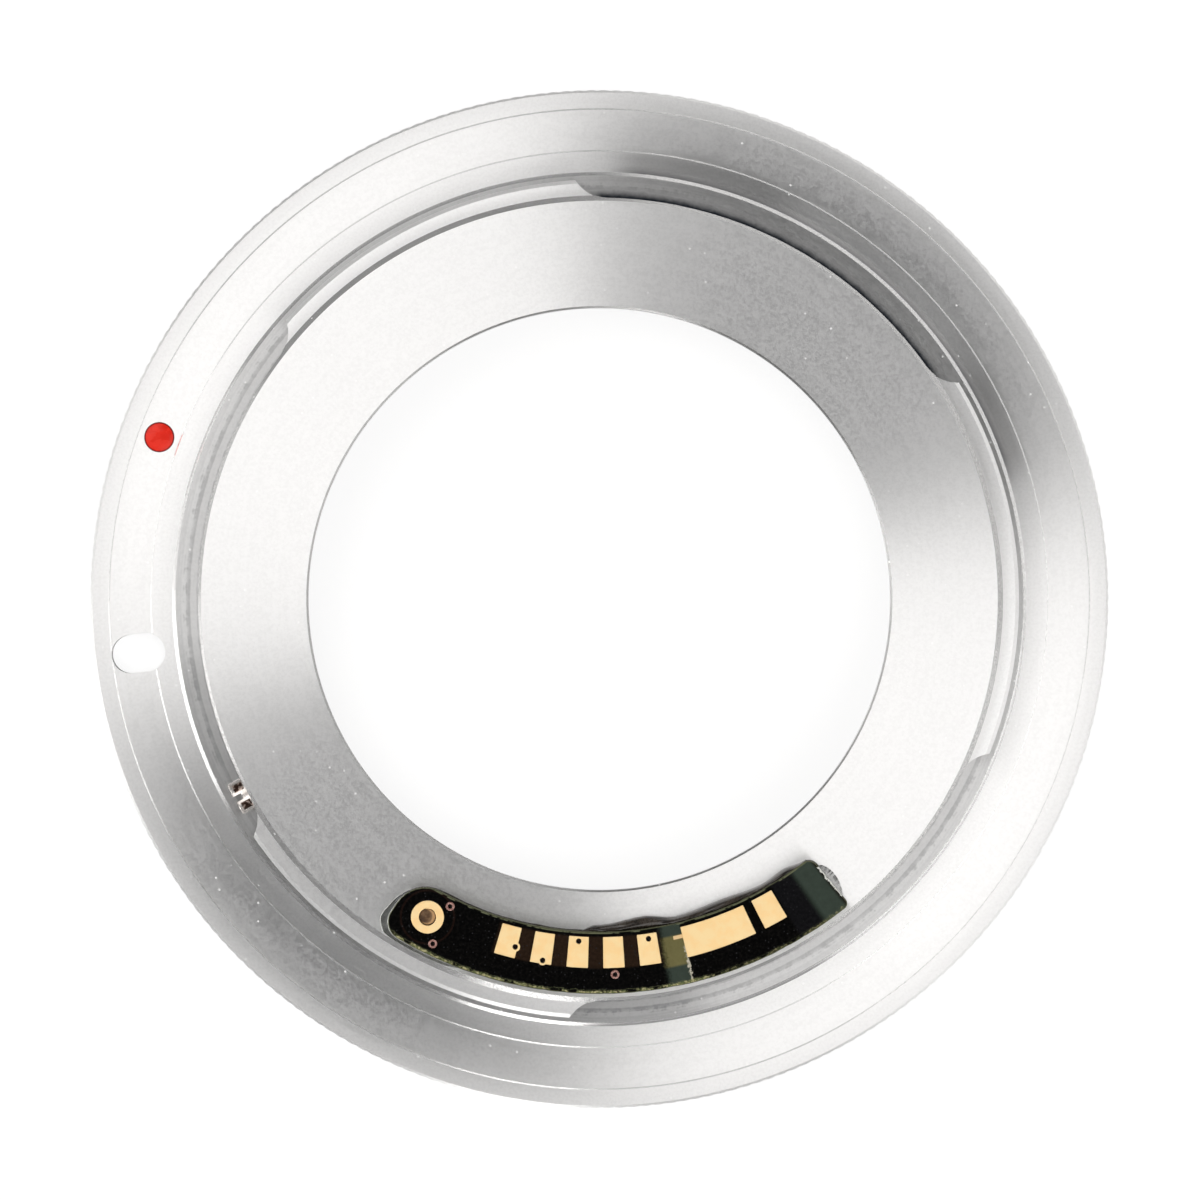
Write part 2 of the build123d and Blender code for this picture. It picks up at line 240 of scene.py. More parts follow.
def inset(loop, distance):
    """Loop moved to its left by a distance, with mitred corners."""
    moved = []
    for i, here in enumerate(loop):
        back, ahead = Vector(loop[i - 1]), Vector(loop[(i + 1) % len(loop)])
        here = Vector(here)
        into, out = (here - back).normalized(), (ahead - here).normalized()
        side = Vector((-into.y - out.y, into.x + out.x))
        if side.length < 1e-9:
            side = Vector((-into.y, into.x))
        side.normalize()
        square = max(side.dot(Vector((-into.y, into.x))), 0.3)
        moved.append(here + side * distance / square)
    return moved


def slab(bm, loop, levels, holes=()):
    """Flat piece whose outline follows the levels, of height and inset, and whose holes are straight."""
    fills = ([], [])
    for points in (loop, *holes):
        rings = []
        for height, distance in levels:
            ring = inset(points, distance) if distance and points is loop else points
            rings.append([bm.verts.new((*point, height)) for point in ring])
        for first, second in zip(rings, rings[1:]):
            bridge(bm, first, second)
        for fill, ring in zip(fills, (rings[0], rings[-1])):
            fill += [bm.edges.get(pair) for pair in zip(ring, ring[1:] + ring[:1])]
    for fill in fills:
        bmesh.ops.triangle_fill(bm, edges=fill, use_beauty=True)


def points_round(centre, radius, angles):
    """Points at a radius round a centre."""
    return [(centre[0] + radius * cos(radians(a)), centre[1] + radius * sin(radians(a))) for a in angles]


def arc(centre, radius, start, end, step):
    """Points along an arc about a centre, ends included."""
    count = max(2, ceil(abs(end - start) / step) + 1)
    return points_round(centre, radius, [start + (end - start) * i / (count - 1) for i in range(count)])


def circle(place, radius, steps=40, hole=False):
    """Closed circle of points, clockwise where it is a hole."""
    turn = -360 if hole else 360
    return points_round(place, radius, [turn * i / steps for i in range(steps)])


def sector(inner, outer, start, end, corners=(0.05,) * 4, step=0.6):
    """Closed sector of a ring with rounded corners: outer start, outer end, inner end, inner start."""
    outer_start, outer_end, inner_end, inner_start = corners
    first = start + degrees(asin(outer_start / (outer - outer_start)))
    second = end - degrees(asin(outer_end / (outer - outer_end)))
    third = end - degrees(asin(inner_end / (inner + inner_end)))
    fourth = start + degrees(asin(inner_start / (inner + inner_start)))
    loop = arc(polar(outer - outer_start, first), outer_start, start - 90, first, 12)
    loop += arc((0, 0), outer, first, second, step)[1:-1]
    loop += arc(polar(outer - outer_end, second), outer_end, second, end + 90, 12)
    loop += arc(polar(inner + inner_end, third), inner_end, end + 90, third + 180, 12)
    loop += arc((0, 0), inner, third, fourth, step)[1:-1]
    loop += arc(polar(inner + inner_start, fourth), inner_start, fourth + 180, start + 270, 12)
    return loop


def upright(name, *shapes, place=Matrix()):
    """Tool of one or more upright shapes, each an outline with its levels, that stands in a place."""
    bm = bmesh.new()
    for loop, levels in shapes:
        slab(bm, loop, levels)
    bm.transform(place)
    return finish_mesh(bm, name, None)


def combine(piece, *tools, operation="DIFFERENCE", solver="EXACT", sharp=30.0):
    """Cuts the tools from a piece or joins them to it, deletes them, and finds its sharp edges again."""
    for tool in tools:
        modifier = piece.modifiers.new("combine", "BOOLEAN")
        modifier.operation = operation
        modifier.solver = solver
        modifier.object = tool
    bpy.context.view_layer.update()
    graph = bpy.context.evaluated_depsgraph_get()
    mesh = bpy.data.meshes.new_from_object(piece.evaluated_get(graph))
    piece.modifiers.clear()
    piece.data = mesh
    mesh.name = piece.name
    mesh.shade_smooth()
    mesh.set_sharp_from_angle(angle=radians(sharp))
    for tool in tools:
        bpy.data.objects.remove(tool)


# Mount ring
def cutter_arc(corner_angle, ahead):
    """Angles and radii along the round end that the gap cutter leaves beside a tab's corner."""
    centre_radius = GAP_RADIUS + GAP_CUTTER
    squares = centre_radius**2 + TAB_RADIUS**2 - GAP_CUTTER**2
    turn = degrees(acos(squares / (2 * centre_radius * TAB_RADIUS)))
    corner = Vector(polar(TAB_RADIUS, turn)) - Vector((centre_radius, 0))
    sweep = 180 - degrees(atan2(corner.y, corner.x))
    found = []
    steps = 14
    for i in range(steps + 1):
        x, y = polar(GAP_CUTTER, 180 - sweep * i / steps)
        point = (centre_radius + x, y)
        away = turn - degrees(atan2(point[1], point[0]))
        found.append((corner_angle + away * (1 if ahead else -1), hypot(*point)))
    return found


def tab_outline():
    """Angles with their tab radius, all round the ring."""
    outline = []
    for start, end in TAB_SPANS:
        outline += cutter_arc(start, False)
        outline += [(start, TAB_RADIUS), (end, TAB_RADIUS)]
        outline += cutter_arc(end, True)[::-1]
    return sorted((angle % 360, radius) for angle, radius in outline)


def radius_at(outline, angle):
    """Tab radius at an angle, read along the outline."""
    before = [point for point in outline if point[0] <= angle] or [(outline[-1][0] - 360, outline[-1][1])]
    after = [point for point in outline if point[0] > angle] or [(outline[0][0] + 360, outline[0][1])]
    (first, low), (second, high) = before[-1], after[0]
    return low + (high - low) * (angle - first) / (second - first)


def knurl_radius(angle):
    """Rim radius of the straight knurl at an angle."""
    share = angle * KNURL_TEETH / 360 % 1
    if share <= KNURL_LAND_SHARE:
        return FLANGE_RADIUS
    root = KNURL_ROOT_SHARE
    if share <= root:
        return FLANGE_RADIUS - KNURL_DEPTH * (share - KNURL_LAND_SHARE) / (root - KNURL_LAND_SHARE)
    return FLANGE_RADIUS - KNURL_DEPTH * (1 - share) / (1 - root)


def ring_section(tab_radius, rim_radius):
    """Closed section of the ring, of radius and height, at one angle."""
    tab_edge = min(tab_radius, TAB_RADIUS - TAB_CHAMFER)
    tab_slope = tab_radius - tab_edge
    rim_edge = FLANGE_RADIUS - RIM_CHAMFER
    rim_slope = rim_radius - rim_edge
    second_land = FLANGE_THICKNESS - LAND_STEP
    barrel_edge = BARREL_RADIUS - BARREL_CHAMFER
    barrel_radius = min(tab_radius, BARREL_RADIUS)
    return [
        (THREAD_RADIUS + THREAD_MOUTH, 0),
        (rim_edge, 0),
        (rim_radius, rim_slope),
        (rim_radius, RIM_FACE - rim_slope),
        (rim_edge, RIM_FACE),
        (RIM_LAND_RADIUS + 2 * LAND_STEP, RIM_FACE),
        (RIM_LAND_RADIUS + LAND_STEP, second_land),
        (SEAT_LAND_RADIUS + LAND_STEP, second_land),
        (SEAT_LAND_RADIUS, FLANGE_THICKNESS),
        (BOSS_FOOT_RADIUS, FLANGE_THICKNESS),
        (BOSS_RADIUS, FLANGE_THICKNESS + BOSS_BEVEL_RISE),
        (BOSS_RADIUS, BOSS_TOP - BOSS_EDGE),
        (BOSS_RADIUS - BOSS_EDGE, BOSS_TOP),
        (NECK_RADIUS, BOSS_TOP),
        (NECK_RADIUS, TAB_BOTTOM),
        (tab_edge, TAB_BOTTOM),
        (tab_radius, TAB_BOTTOM + tab_slope),
        (tab_radius, TAB_TOP - tab_slope),
        (tab_edge, TAB_TOP),
        (barrel_radius, TAB_TOP),
        (barrel_radius, BARREL_TOP - barrel_radius + barrel_edge),
        (barrel_edge, BARREL_TOP),
        (HOLE_RADIUS + HOLE_CHAMFER, BARREL_TOP),
        (HOLE_RADIUS, BARREL_TOP - HOLE_CHAMFER),
        (HOLE_RADIUS, LIP_BOTTOM + HOLE_CHAMFER),
        (HOLE_RADIUS + HOLE_CHAMFER, LIP_BOTTOM),
        (RELIEF_RADIUS, LIP_BOTTOM),
        (RELIEF_RADIUS, THREAD_END),
        (THREAD_RADIUS, THREAD_END),
        (THREAD_RADIUS, THREAD_MOUTH),
    ]


def ring_angles(outline):
    """Angles of the ring's sections: three to a knurl tooth, and those of the tabs' ends."""
    pitch = 360 / KNURL_TEETH
    angles = [angle for angle, radius in outline]
    taken = [round(angle, 2) for angle in angles]
    for tooth in range(KNURL_TEETH):
        for share in (0, KNURL_LAND_SHARE, KNURL_ROOT_SHARE):
            angle = (tooth + share) * pitch
            if round(angle, 2) not in taken:
                angles.append(angle)
    return sorted(set(angles))


def slot_cutter():
    """Solid of the locking pin's slot."""
    length, width = SLOT_SIZE
    reach = (length - width) / 2
    loop = arc((reach, 0), width / 2, -90, 90, 6) + arc((-reach, 0), width / 2, 90, 270, 6)
    place = Matrix.Rotation(radians(SLOT_PLACE[1]), 4, "Z") @ Matrix.Translation((SLOT_PLACE[0], 0, 0))
    return upright("slot_cutter", (loop, [(CUTTER_LOW, 0), (CUTTER_HIGH, 0)]), place=place)


def pit_cutter():
    """Solid of the index dot's pit."""
    loop = circle(polar(*DOT_PLACE), DOT_RADIUS, 64)
    return upright("pit_cutter", (loop, [(DOT_FLOOR, 0), (CUTTER_HIGH, 0)]))


def seat_cutter():
    """Solid of the stop screw's spot face and tapped hole, lying along the screw."""
    spot_face = circle((0, 0), SCREW_HEAD[0] + SPOT_FACE_GAP, 48), [(0, 0), (SCREW_HEAD[1], 0)]
    tapped_hole = circle((0, 0), SCREW_SHANK[0], 32), [(-SCREW_SHANK[1], 0), (CUTTER_LAP, 0)]
    return upright("seat_cutter", spot_face, tapped_hole, place=screw_place())


def screw_place():
    """Matrix that stands an upright solid on the stop screw's seat, pointing outward."""
    outward = Vector(polar(1, SCREW_ANGLE, 0))
    across = Vector(polar(1, SCREW_ANGLE + 90, 0))
    matrix = Matrix((across, Vector((0, 0, 1)), outward)).transposed().to_4x4()
    matrix.translation = outward * SCREW_SEAT + Vector((0, 0, SCREW_HEIGHT))
    return matrix


def make_mount_ring():
    """The turned ring with its tabs, slot, pit, spot face and knurled rim."""
    outline = tab_outline()
    bm = bmesh.new()
    turned(bm, [at_angle(ring_section(radius_at(outline, angle), knurl_radius(angle)), angle)
                for angle in ring_angles(outline)])
    ring = finish_mesh(bm, "mount_ring_turned", "turned_ring", ["mount_ring"], sharp=25)
    combine(ring, slot_cutter(), pit_cutter(), seat_cutter(), solver="MANIFOLD")
    return ring


def make_lens_thread():
    """Ridge of the lens thread inside the bore."""
    pitch, depth, root, crest = 1.0, 0.54, 0.84, 0.14
    start, end = 0.55, THREAD_END - 0.45
    turns = (end - start) / pitch
    steps = int(turns * 120)
    foot = THREAD_RADIUS + 0.02
    sections = []
    for i in range(steps + 1):
        share = i / steps
        height = start + share * (end - start)
        grown = max(blend(0, 0.05, share) * blend(1, 0.95, share), 0.04)
        peak = foot - (depth + 0.02) * grown
        half_root, half_crest = root / 2 * grown, crest / 2 * grown
        section = [(foot, height - half_root), (foot, height + half_root)]
        section += [(peak, height + half_crest), (peak, height - half_crest)]
        sections.append(at_angle(section, share * turns * 360))
    bm = bmesh.new()
    turned(bm, sections, closed=False)
    return finish_mesh(bm, "lens_thread_ridge", "turned_ring")


# Index dot and stop screw
def make_red_dot():
    """Enamel that fills the pit, with a raised middle and a lip where it wets the wall."""
    rings, steps = 14, 72
    outer = DOT_RADIUS - 0.004
    brim = FLANGE_THICKNESS - LAND_STEP - 0.10
    section = [(0, DOT_FLOOR), (outer, DOT_FLOOR), (outer, brim - 0.02)]
    for i in range(rings + 1):
        radius = outer * cos(radians(90 * i / rings))
        crown = sqrt(max(0, 1 - (radius / DOT_RADIUS)**2.6))
        section.append((max(radius, 0), brim + (DOT_TOP - brim) * crown))
    centre = polar(*DOT_PLACE)
    sections = []
    for i in range(steps):
        row = []
        for x, y, height in at_angle(section, 360 * i / steps):
            sag = 0.018 * rough((x, y, 0), 0.55, seed=3) if height > brim + 0.01 else 0
            row.append((centre[0] + x, centre[1] + y, min(height + sag, DOT_TOP)))
        sections.append(row)
    bm = bmesh.new()
    turned(bm, sections)
    return finish_mesh(bm, "red_index_enamel", "red_enamel", ["red_index_dot"], sharp=60)


def make_stop_screw():
    """Slotted screw head with rounded edges, on its shank."""
    radius, height = SCREW_HEAD
    shank, length = SCREW_SHANK
    edge, under = 0.12, 0.04
    section = [(0, -length), (shank, -length), (shank, 0), (radius - under, 0), (radius, under)]
    section += arc((radius - edge, height - edge), edge, 0, 90, 22.5)
    bm = bmesh.new()
    lathe(bm, [*section, (0, height)], steps=72)
    bm.transform(screw_place())
    screw = finish_mesh(bm, "stop_screw_slotted", "screw_steel", ["stop_screw"])
    half, reach = SCREW_SLOT[0] / 2, 2
    loop = [(-half, -reach), (half, -reach), (half, reach), (-half, reach)]
    levels = [(height - SCREW_SLOT[1], 0), (height - 0.05, 0), (height + 0.1, -0.15)]
    combine(screw, upright("slot_tool", (loop, levels), place=screw_place()))
    return screw


# Contact board
def row_place(offset, angle):
    """Place at an offset outward from the row of pads."""
    return polar(PAD_ROW + offset, angle)


def drilled_places():
    """Place and radius of every hole in the board."""
    holes = [
        (row_place(offset[0], angle + offset[1]), PAD_HOLE_RADIUS)
        for angle, offset in zip(NARROW_PADS, PAD_HOLES) if offset
    ]
    holes += [
        (row_place(offset, BOARD_SPAN[0] + turn), SMALL_HOLE_RADIUS)
        for offset, turn in SMALL_HOLES.values()
    ]
    holes.append((polar(*LOCATING_RING), LOCATING_HOLE_RADIUS))
    return holes


def board_loop():
    """Outline of the board."""
    return sector(BOARD_INNER, BOARD_OUTER, *BOARD_SPAN, corners=BOARD_CORNERS)


def make_board():
    """Laminate of the board, drilled, with the broken edge that routing leaves."""
    bm = bmesh.new()
    holes = [circle(place, radius + HOLE_WALL, 32, hole=True) for place, radius in drilled_places()]
    edge = 0.07
    levels = [(BOARD_BOTTOM, 0.02), (BOARD_BOTTOM + 0.05, 0), (BOARD_TOP - edge, 0), (BOARD_TOP, edge)]
    slab(bm, board_loop(), levels, holes)
    for vertex in bm.verts:
        x, y, z = vertex.co
        radius = hypot(x, y)
        if radius > BOARD_OUTER - 0.01 or radius < BOARD_INNER + 0.01:
            nick = 0.05 * max(0, rough((x, y, 3 * z), 0.35, seed=5)) * (1 if radius < BOARD_MIDDLE else -1)
            vertex.co.xy = vertex.co.xy * (1 + nick / radius)
    return finish_mesh(bm, "chip_board_laminate", "board_laminate", ["chip_board"])


def plated_hole(name, slot, replaced, place, radius, collar):
    """Plated wall of a hole with its flat collar on the board."""
    edge, wall, outer = 0.02, radius + HOLE_WALL, radius + collar
    section = [(radius, BOARD_BOTTOM), (wall, BOARD_BOTTOM), (wall, BOARD_TOP), (outer, BOARD_TOP)]
    section += [(outer, GOLD_TOP - edge), (outer - edge, GOLD_TOP)]
    section += [(radius + edge, GOLD_TOP), (radius, GOLD_TOP - edge)]
    bm = bmesh.new()
    lathe(bm, section, place)
    return finish_mesh(bm, name, slot, replaced)


def make_pad(name, start, end, hole=None):
    """One gold pad, with its plated hole where it has one."""
    loop = sector(PAD_INNER, PAD_OUTER, start, end)
    edge = 0.022
    bm = bmesh.new()
    slab(bm, loop, [(BOARD_TOP, 0), (GOLD_TOP - edge, 0), (GOLD_TOP - edge / 3, edge / 3), (GOLD_TOP, edge)])
    pad = finish_mesh(bm, f"{name}_gold", "gold_plating", [name], sharp=15)
    if hole:
        loop = circle(hole, PAD_HOLE_RADIUS + HOLE_WALL / 2, 48)
        combine(pad, upright("hole_tool", (loop, [(BOARD_TOP - 1, 0), (GOLD_TOP + 1, 0)])))
        collar = plated_hole("collar_tool", None, (), hole, PAD_HOLE_RADIUS, HOLE_COLLAR)
        combine(pad, collar, operation="UNION", sharp=15)
    return pad


def make_gold():
    """All the gold on the board."""
    pieces = []
    for number, (angle, offset) in enumerate(zip(NARROW_PADS, PAD_HOLES), start=1):
        hole = row_place(offset[0], angle + offset[1]) if offset else None
        span = (angle - NARROW_HALF_SPAN, angle + NARROW_HALF_SPAN)
        pieces.append(make_pad(f"contact_pad_{number}", *span, hole))
    pieces.append(make_pad("contact_pad_wide", *WIDE_PAD))
    pieces.append(make_pad("contact_pad_end", *END_PAD))
    holes = [(name, row_place(offset, BOARD_SPAN[0] + turn), SMALL_HOLE_RADIUS, HOLE_COLLAR)
             for name, (offset, turn) in SMALL_HOLES.items()]
    holes.append(("locating_ring", polar(*LOCATING_RING), LOCATING_HOLE_RADIUS, LOCATING_COLLAR))
    for name, *sizes in holes:
        pieces.append(plated_hole(f"{name}_plated", "gold_plating", [name], *sizes))
    bm = bmesh.new()
    slab(bm, sector(*TRACE_TAB, corners=(0.03,) * 4), [(BOARD_TOP, 0), (GOLD_TOP - 0.02, 0)])
    pieces.append(finish_mesh(bm, "trace_tab_gold", "gold_plating"))
    return pieces


# Epoxy and glue
def curve_through(points, at):
    """Value at a place along points of place and value, smooth between them."""
    for (first, low), (second, high) in zip(points, points[1:]):
        if at <= second:
            return low + (high - low) * blend(first, second, at)
    return points[-1][1]


def bead_section(angle):
    """Section of the epoxy bead at an angle, from the board's edge down to its foot and back under."""
    foot = curve_through(BEAD_FOOT, angle)
    wall = BOARD_INNER + 0.06
    rise = curve_through(BEAD_RISE, angle)
    ends = blend(0, 1.2, angle - BEAD_FOOT[0][0]) * blend(0, 0.8, BEAD_FOOT[-1][0] - angle)
    points = []
    steps = 14
    for i in range(steps + 1):
        share = i / steps
        radius = wall + (foot - wall) * share
        bulge = sqrt(max(0, 1 - share**2.4))
        groove = 0.16 * (1 - blend(0, 0.22, share))
        place = (angle * 0.1, share * 2.2, 0)
        lump = 0.09 * rough(place, 0.55, seed=11) + 0.03 * rough(place, 0.25, seed=12)
        height = (rise - groove + lump) * bulge * (0.15 + 0.85 * ends)
        points.append((radius, BARREL_TOP + max(height, 0)))
    points += [(foot, BARREL_TOP - 0.01), (wall, BARREL_TOP - 0.01)]
    return points


def make_epoxy():
    """Bed of epoxy that squeezes out a little under the board, with the bead along its inner edge."""
    bm = bmesh.new()
    hole = circle(polar(*LOCATING_RING), LOCATING_HOLE_RADIUS - 0.03, 40, hole=True)
    loop = board_loop()
    swollen = []
    for here, out in zip(loop, inset(loop, -1)):
        squeeze = 0.03 + 0.05 * rough((*here, 0), 1.1, seed=9)
        swollen.append(Vector(here) + (out - Vector(here)) * squeeze)
    levels = [(BARREL_TOP, 0), (BARREL_TOP + 0.05, -0.02), (BOARD_BOTTOM, 0.02)]
    slab(bm, swollen, levels, [hole])
    bed = finish_mesh(bm, "epoxy_bed_with_bead", "black_epoxy", ["epoxy_bed"], sharp=60)
    bm = bmesh.new()
    steps = 150
    start, end = BEAD_FOOT[0][0], BEAD_FOOT[-1][0]
    angles = [start + (end - start) * i / steps for i in range(steps + 1)]
    turned(bm, [at_angle(bead_section(angle), angle) for angle in angles], closed=False)
    combine(bed, finish_mesh(bm, "bead_tool", None), operation="UNION", sharp=60)
    return bed


def make_hole_floor():
    """Plug of brown resin that rose from the bed into the locating hole."""
    bm = bmesh.new()
    rim = circle(polar(*LOCATING_RING), LOCATING_HOLE_RADIUS - 0.04, 40)
    slab(bm, rim, [(BARREL_TOP + 0.01, 0), (BOARD_TOP - 0.42, 0), (BOARD_TOP - 0.4, 0.02)])
    return finish_mesh(bm, "locating_hole_resin", "black_epoxy")


def glue_skin(bm, path, outward, widths, top):
    """Wedge of glue beside a wall: along a path, out by a width, up to a height, frosted and with painted
    highlights at both edges.
    """
    layer = bm.verts.layers.float.new("frost_and_glint")
    rows = []
    # Each row of the profile: share of the width, share of the height, and how milky it is, which stands for
    # dried frost and painted highlight.
    profile = ((0.0, 1.0, 1.0), (0.12, 0.93, 0.7), (0.3, 0.72, 0.0), (0.55, 0.50, 0.0), (0.78, 0.34, 0.1),
               (0.92, 0.22, 0.9), (1.0, 0.0, 1.0), (0.9, -0.02, 0.0), (-0.1, -0.02, 0.0))
    for i, (place, out, width) in enumerate(zip(path, outward, widths)):
        row = []
        for share, level, edge in profile:
            spread = width * share * (1 + 0.12 * rough((*place, 0), 0.5, seed=21))
            point = place + out * spread
            height = (top - BARREL_TOP) * max(level, 0) * (1 + 0.12 * rough((*point, level), 0.6, seed=22))
            vertex = bm.verts.new((point.x, point.y, BARREL_TOP + min(height, top - BARREL_TOP)))
            vertex[layer] = edge
            row.append(vertex)
        rows.append(row)
    skin(bm, rows)


def make_start_glue():
    """Clear glue round the board's start and along its outer edge."""
    loop = board_loop()
    outward = [out - Vector(here) for here, out in zip(loop, inset(loop, -1))]
    outer_end, inner_end = START_GLUE_SPAN
    along = [i for i, (x, y) in enumerate(loop)
             if degrees(atan2(y, x)) % 360 < (outer_end if hypot(x, y) > BOARD_MIDDLE else inner_end)]
    turn = next(k for k in range(len(along) - 1) if along[k + 1] != along[k] + 1)
    order = along[turn + 1:] + along[:turn + 1]
    path = [Vector(loop[i]) for i in order]
    sides = [outward[i] for i in order]
    widths = []
    for k, place in enumerate(path):
        ends = blend(0, 6, k) * blend(0, 8, len(path) - 1 - k)
        room = GLUE_LIMIT - place.length if place.length > BOARD_MIDDLE else START_GLUE_WIDTH
        widths.append(min(START_GLUE_WIDTH, max(room, 0.1)) * (0.1 + 0.9 * ends))
    bm = bmesh.new()
    glue_skin(bm, path, sides, widths, BOARD_TOP - 0.06)
    return finish_mesh(bm, "start_glue", "clear_glue", sharp=50)


def make_end_glue():
    """Drop of clear glue past the board's end, with a torn milky edge where it meets the board and a painted
    dark rim at its outer foot.
    """
    bm = bmesh.new()
    layer = bm.verts.layers.float.new("frost_and_glint")
    low, high = END_GLUE_SPAN
    steps, rings, lap, proud = 40, 10, 0.02, 0.03
    across = Vector(polar(1, BOARD_SPAN[1] + 90))
    rows = []
    for i in range(steps + 1):
        share = i / steps
        radius = low + (high - low) * share
        reach = END_GLUE_REACH * sin(pi * share ** 0.85) ** 0.6 if 0 < share < 1 else 0
        torn = 0.22 * abs(rough((radius, 0, 0), 0.3, seed=31))
        torn += 0.10 * abs(rough((radius, 5, 0), 0.11, seed=32))
        edge = Vector(polar(radius, BOARD_SPAN[1]))
        row = []
        for k in range(rings + 1):
            part = k / rings
            offset = (reach + lap + torn) * part - lap - torn
            crown = sqrt(max(0, 1 - part ** 3)) * (1 - 0.72 * blend(0.1, 0.5, part))
            height = BARREL_TOP + (BOARD_TOP + 0.035 - BARREL_TOP) * crown
            if offset < lap:
                height = BOARD_TOP + proud
            vertex = bm.verts.new((*(edge + across * offset), height))
            # Milky over the board as dried frost, and below 0 at the outer foot for a painted dark rim.
            vertex[layer] = 1 - blend(0.02, 0.10, offset) - blend(0.85, 1.0, part)
            row.append(vertex)
        foot, wall = edge + across * reach, edge - across * lap
        for point, height in ((foot, BARREL_TOP), (wall, BARREL_TOP), (wall, BOARD_TOP)):
            row.append(bm.verts.new((*point, height)))
        rows.append(row)
    skin(bm, rows)
    return finish_mesh(bm, "end_glue_drop", "clear_glue", ["end_glue"], sharp=50)


# Materials
class Shader:
    """A material's node tree, with short calls for the nodes that it needs."""

    def __init__(self, name):
        self.material = bpy.data.materials.new(name)
        self.material.use_nodes = True
        self.tree = self.material.node_tree
        self.surface = self.tree.nodes["Principled BSDF"]
        place = self.node("ShaderNodeTexCoord").outputs["Object"]
        self.millimetres = self.vector("SCALE", place, factor=1 / MM)

    def node(self, kind, **settings):
        made = self.tree.nodes.new(kind)
        for key, value in settings.items():
            setattr(made, key, value)
        return made

    def put(self, socket, value):
        if isinstance(value, bpy.types.NodeSocket):
            self.tree.links.new(value, socket)
        else:
            socket.default_value = value

    def math(self, operation, first, second=0.0, clamp=False):
        made = self.node("ShaderNodeMath", operation=operation, use_clamp=clamp)
        self.put(made.inputs[0], first)
        self.put(made.inputs[1], second)
        return made.outputs[0]

    def times(self, first, second):
        return self.math("MULTIPLY", first, second)

    def plus(self, first, second, clamp=False):
        return self.math("ADD", first, second, clamp)

    def minus(self, first, second, clamp=False):
        return self.math("SUBTRACT", first, second, clamp)

    def vector(self, operation, first, second=None, factor=None):
        made = self.node("ShaderNodeVectorMath", operation=operation)
        self.put(made.inputs[0], first)
        if second is not None:
            self.put(made.inputs[1], second)
        if factor is not None:
            made.inputs["Scale"].default_value = factor
        return made.outputs["Value"] if operation in ("LENGTH", "DOT_PRODUCT") else made.outputs[0]

    def split(self, vector):
        made = self.node("ShaderNodeSeparateXYZ")
        self.put(made.inputs[0], vector)
        return made.outputs

    def join(self, x=0.0, y=0.0, z=0.0):
        made = self.node("ShaderNodeCombineXYZ")
        for socket, value in zip(made.inputs, (x, y, z)):
            self.put(socket, value)
        return made.outputs[0]

    def away(self, place):
        """Distance in millimetres from an upright line at a place."""
        x, y, z = self.split(self.vector("SUBTRACT", self.millimetres, (*place, 0)))
        return self.vector("LENGTH", self.join(x, y))

    def radius(self):
        return self.away((0, 0))

    def azimuth(self):
        """Angle in degrees from 0 to 360."""
        x, y, z = self.split(self.millimetres)
        turn = self.times(self.math("ARCTAN2", y, x), 180 / pi)
        return self.math("FLOORED_MODULO", turn, 360)

    def noise(self, scale, detail=2.0, roughness=0.5, place=None):
        """Noise with so many lumps a millimetre, or one that is read at another place."""
        made = self.node("ShaderNodeTexNoise")
        self.put(made.inputs["Vector"], self.millimetres if place is None else place)
        for key, number in (("Scale", scale), ("Detail", detail), ("Roughness", roughness)):
            made.inputs[key].default_value = number
        return made.outputs[0]

    def ramp(self, value, low, high, to_low=0.0, to_high=1.0, kind="LINEAR"):
        """Straight slope from one value at low to another at high, level outside."""
        made = self.node("ShaderNodeMapRange", interpolation_type=kind)
        for key, number in zip(("Value", "From Min", "From Max", "To Min", "To Max"),
                               (value, low, high, to_low, to_high)):
            self.put(made.inputs[key], number)
        return made.outputs[0]

    def step(self, value, low, high, to_low=0.0, to_high=1.0):
        """The same slope with soft ends."""
        return self.ramp(value, low, high, to_low, to_high, "SMOOTHSTEP")

    def window(self, value, low, high, soft):
        """1 between low and high, and 0 outside, with soft edges."""
        rise = self.step(value, low - soft, low + soft)
        fall = self.step(value, high - soft, high + soft, 1.0, 0.0)
        return self.times(rise, fall)

    def mix(self, share, first, second):
        made = self.node("ShaderNodeMix", data_type="RGBA")
        self.put(made.inputs[0], share)
        for socket, value in ((made.inputs[6], first), (made.inputs[7], second)):
            self.put(socket, (*value, 1) if isinstance(value, tuple) else value)
        return made.outputs[2]

    def dots(self, scale, radius, share):
        """Small round specks: so many cells a millimetre, of a radius in cells, in a share of them."""
        made = self.node("ShaderNodeTexVoronoi")
        self.put(made.inputs["Vector"], self.millimetres)
        made.inputs["Scale"].default_value = scale
        near = self.step(made.outputs["Distance"], radius * 0.5, radius, 1.0, 0.0)
        chosen = self.math("LESS_THAN", self.split(made.outputs["Color"])[0], share)
        return self.times(near, chosen)

    def bump(self, height, depth, strength=1.0):
        """Bump of a height from 0 to 1 that is so many millimetres deep."""
        made = self.node("ShaderNodeBump")
        made.inputs["Strength"].default_value = strength
        made.inputs["Distance"].default_value = depth * MM
        self.put(made.inputs["Height"], height)
        self.put(self.surface.inputs["Normal"], made.outputs[0])

    def patches(self, spans, soft):
        """Strength of patches round the axis, each with its start, end and strength."""
        found = 0.0
        for start, end, strength in spans:
            patch = self.times(self.window(self.azimuth(), start, end, soft), strength)
            found = self.math("MAXIMUM", found, patch)
        return found

    def cover(self, share, colour):
        """Lays a colour over the base colour, in full where share is 1."""
        socket = self.surface.inputs["Base Color"]
        self.put(socket, self.mix(share, socket.links[0].from_socket, colour))

    def set(self, **values):
        for key, value in values.items():
            socket = self.surface.inputs[key.replace("_", " ")]
            self.put(socket, (*value, 1) if isinstance(value, tuple) and len(value) == 3 else value)


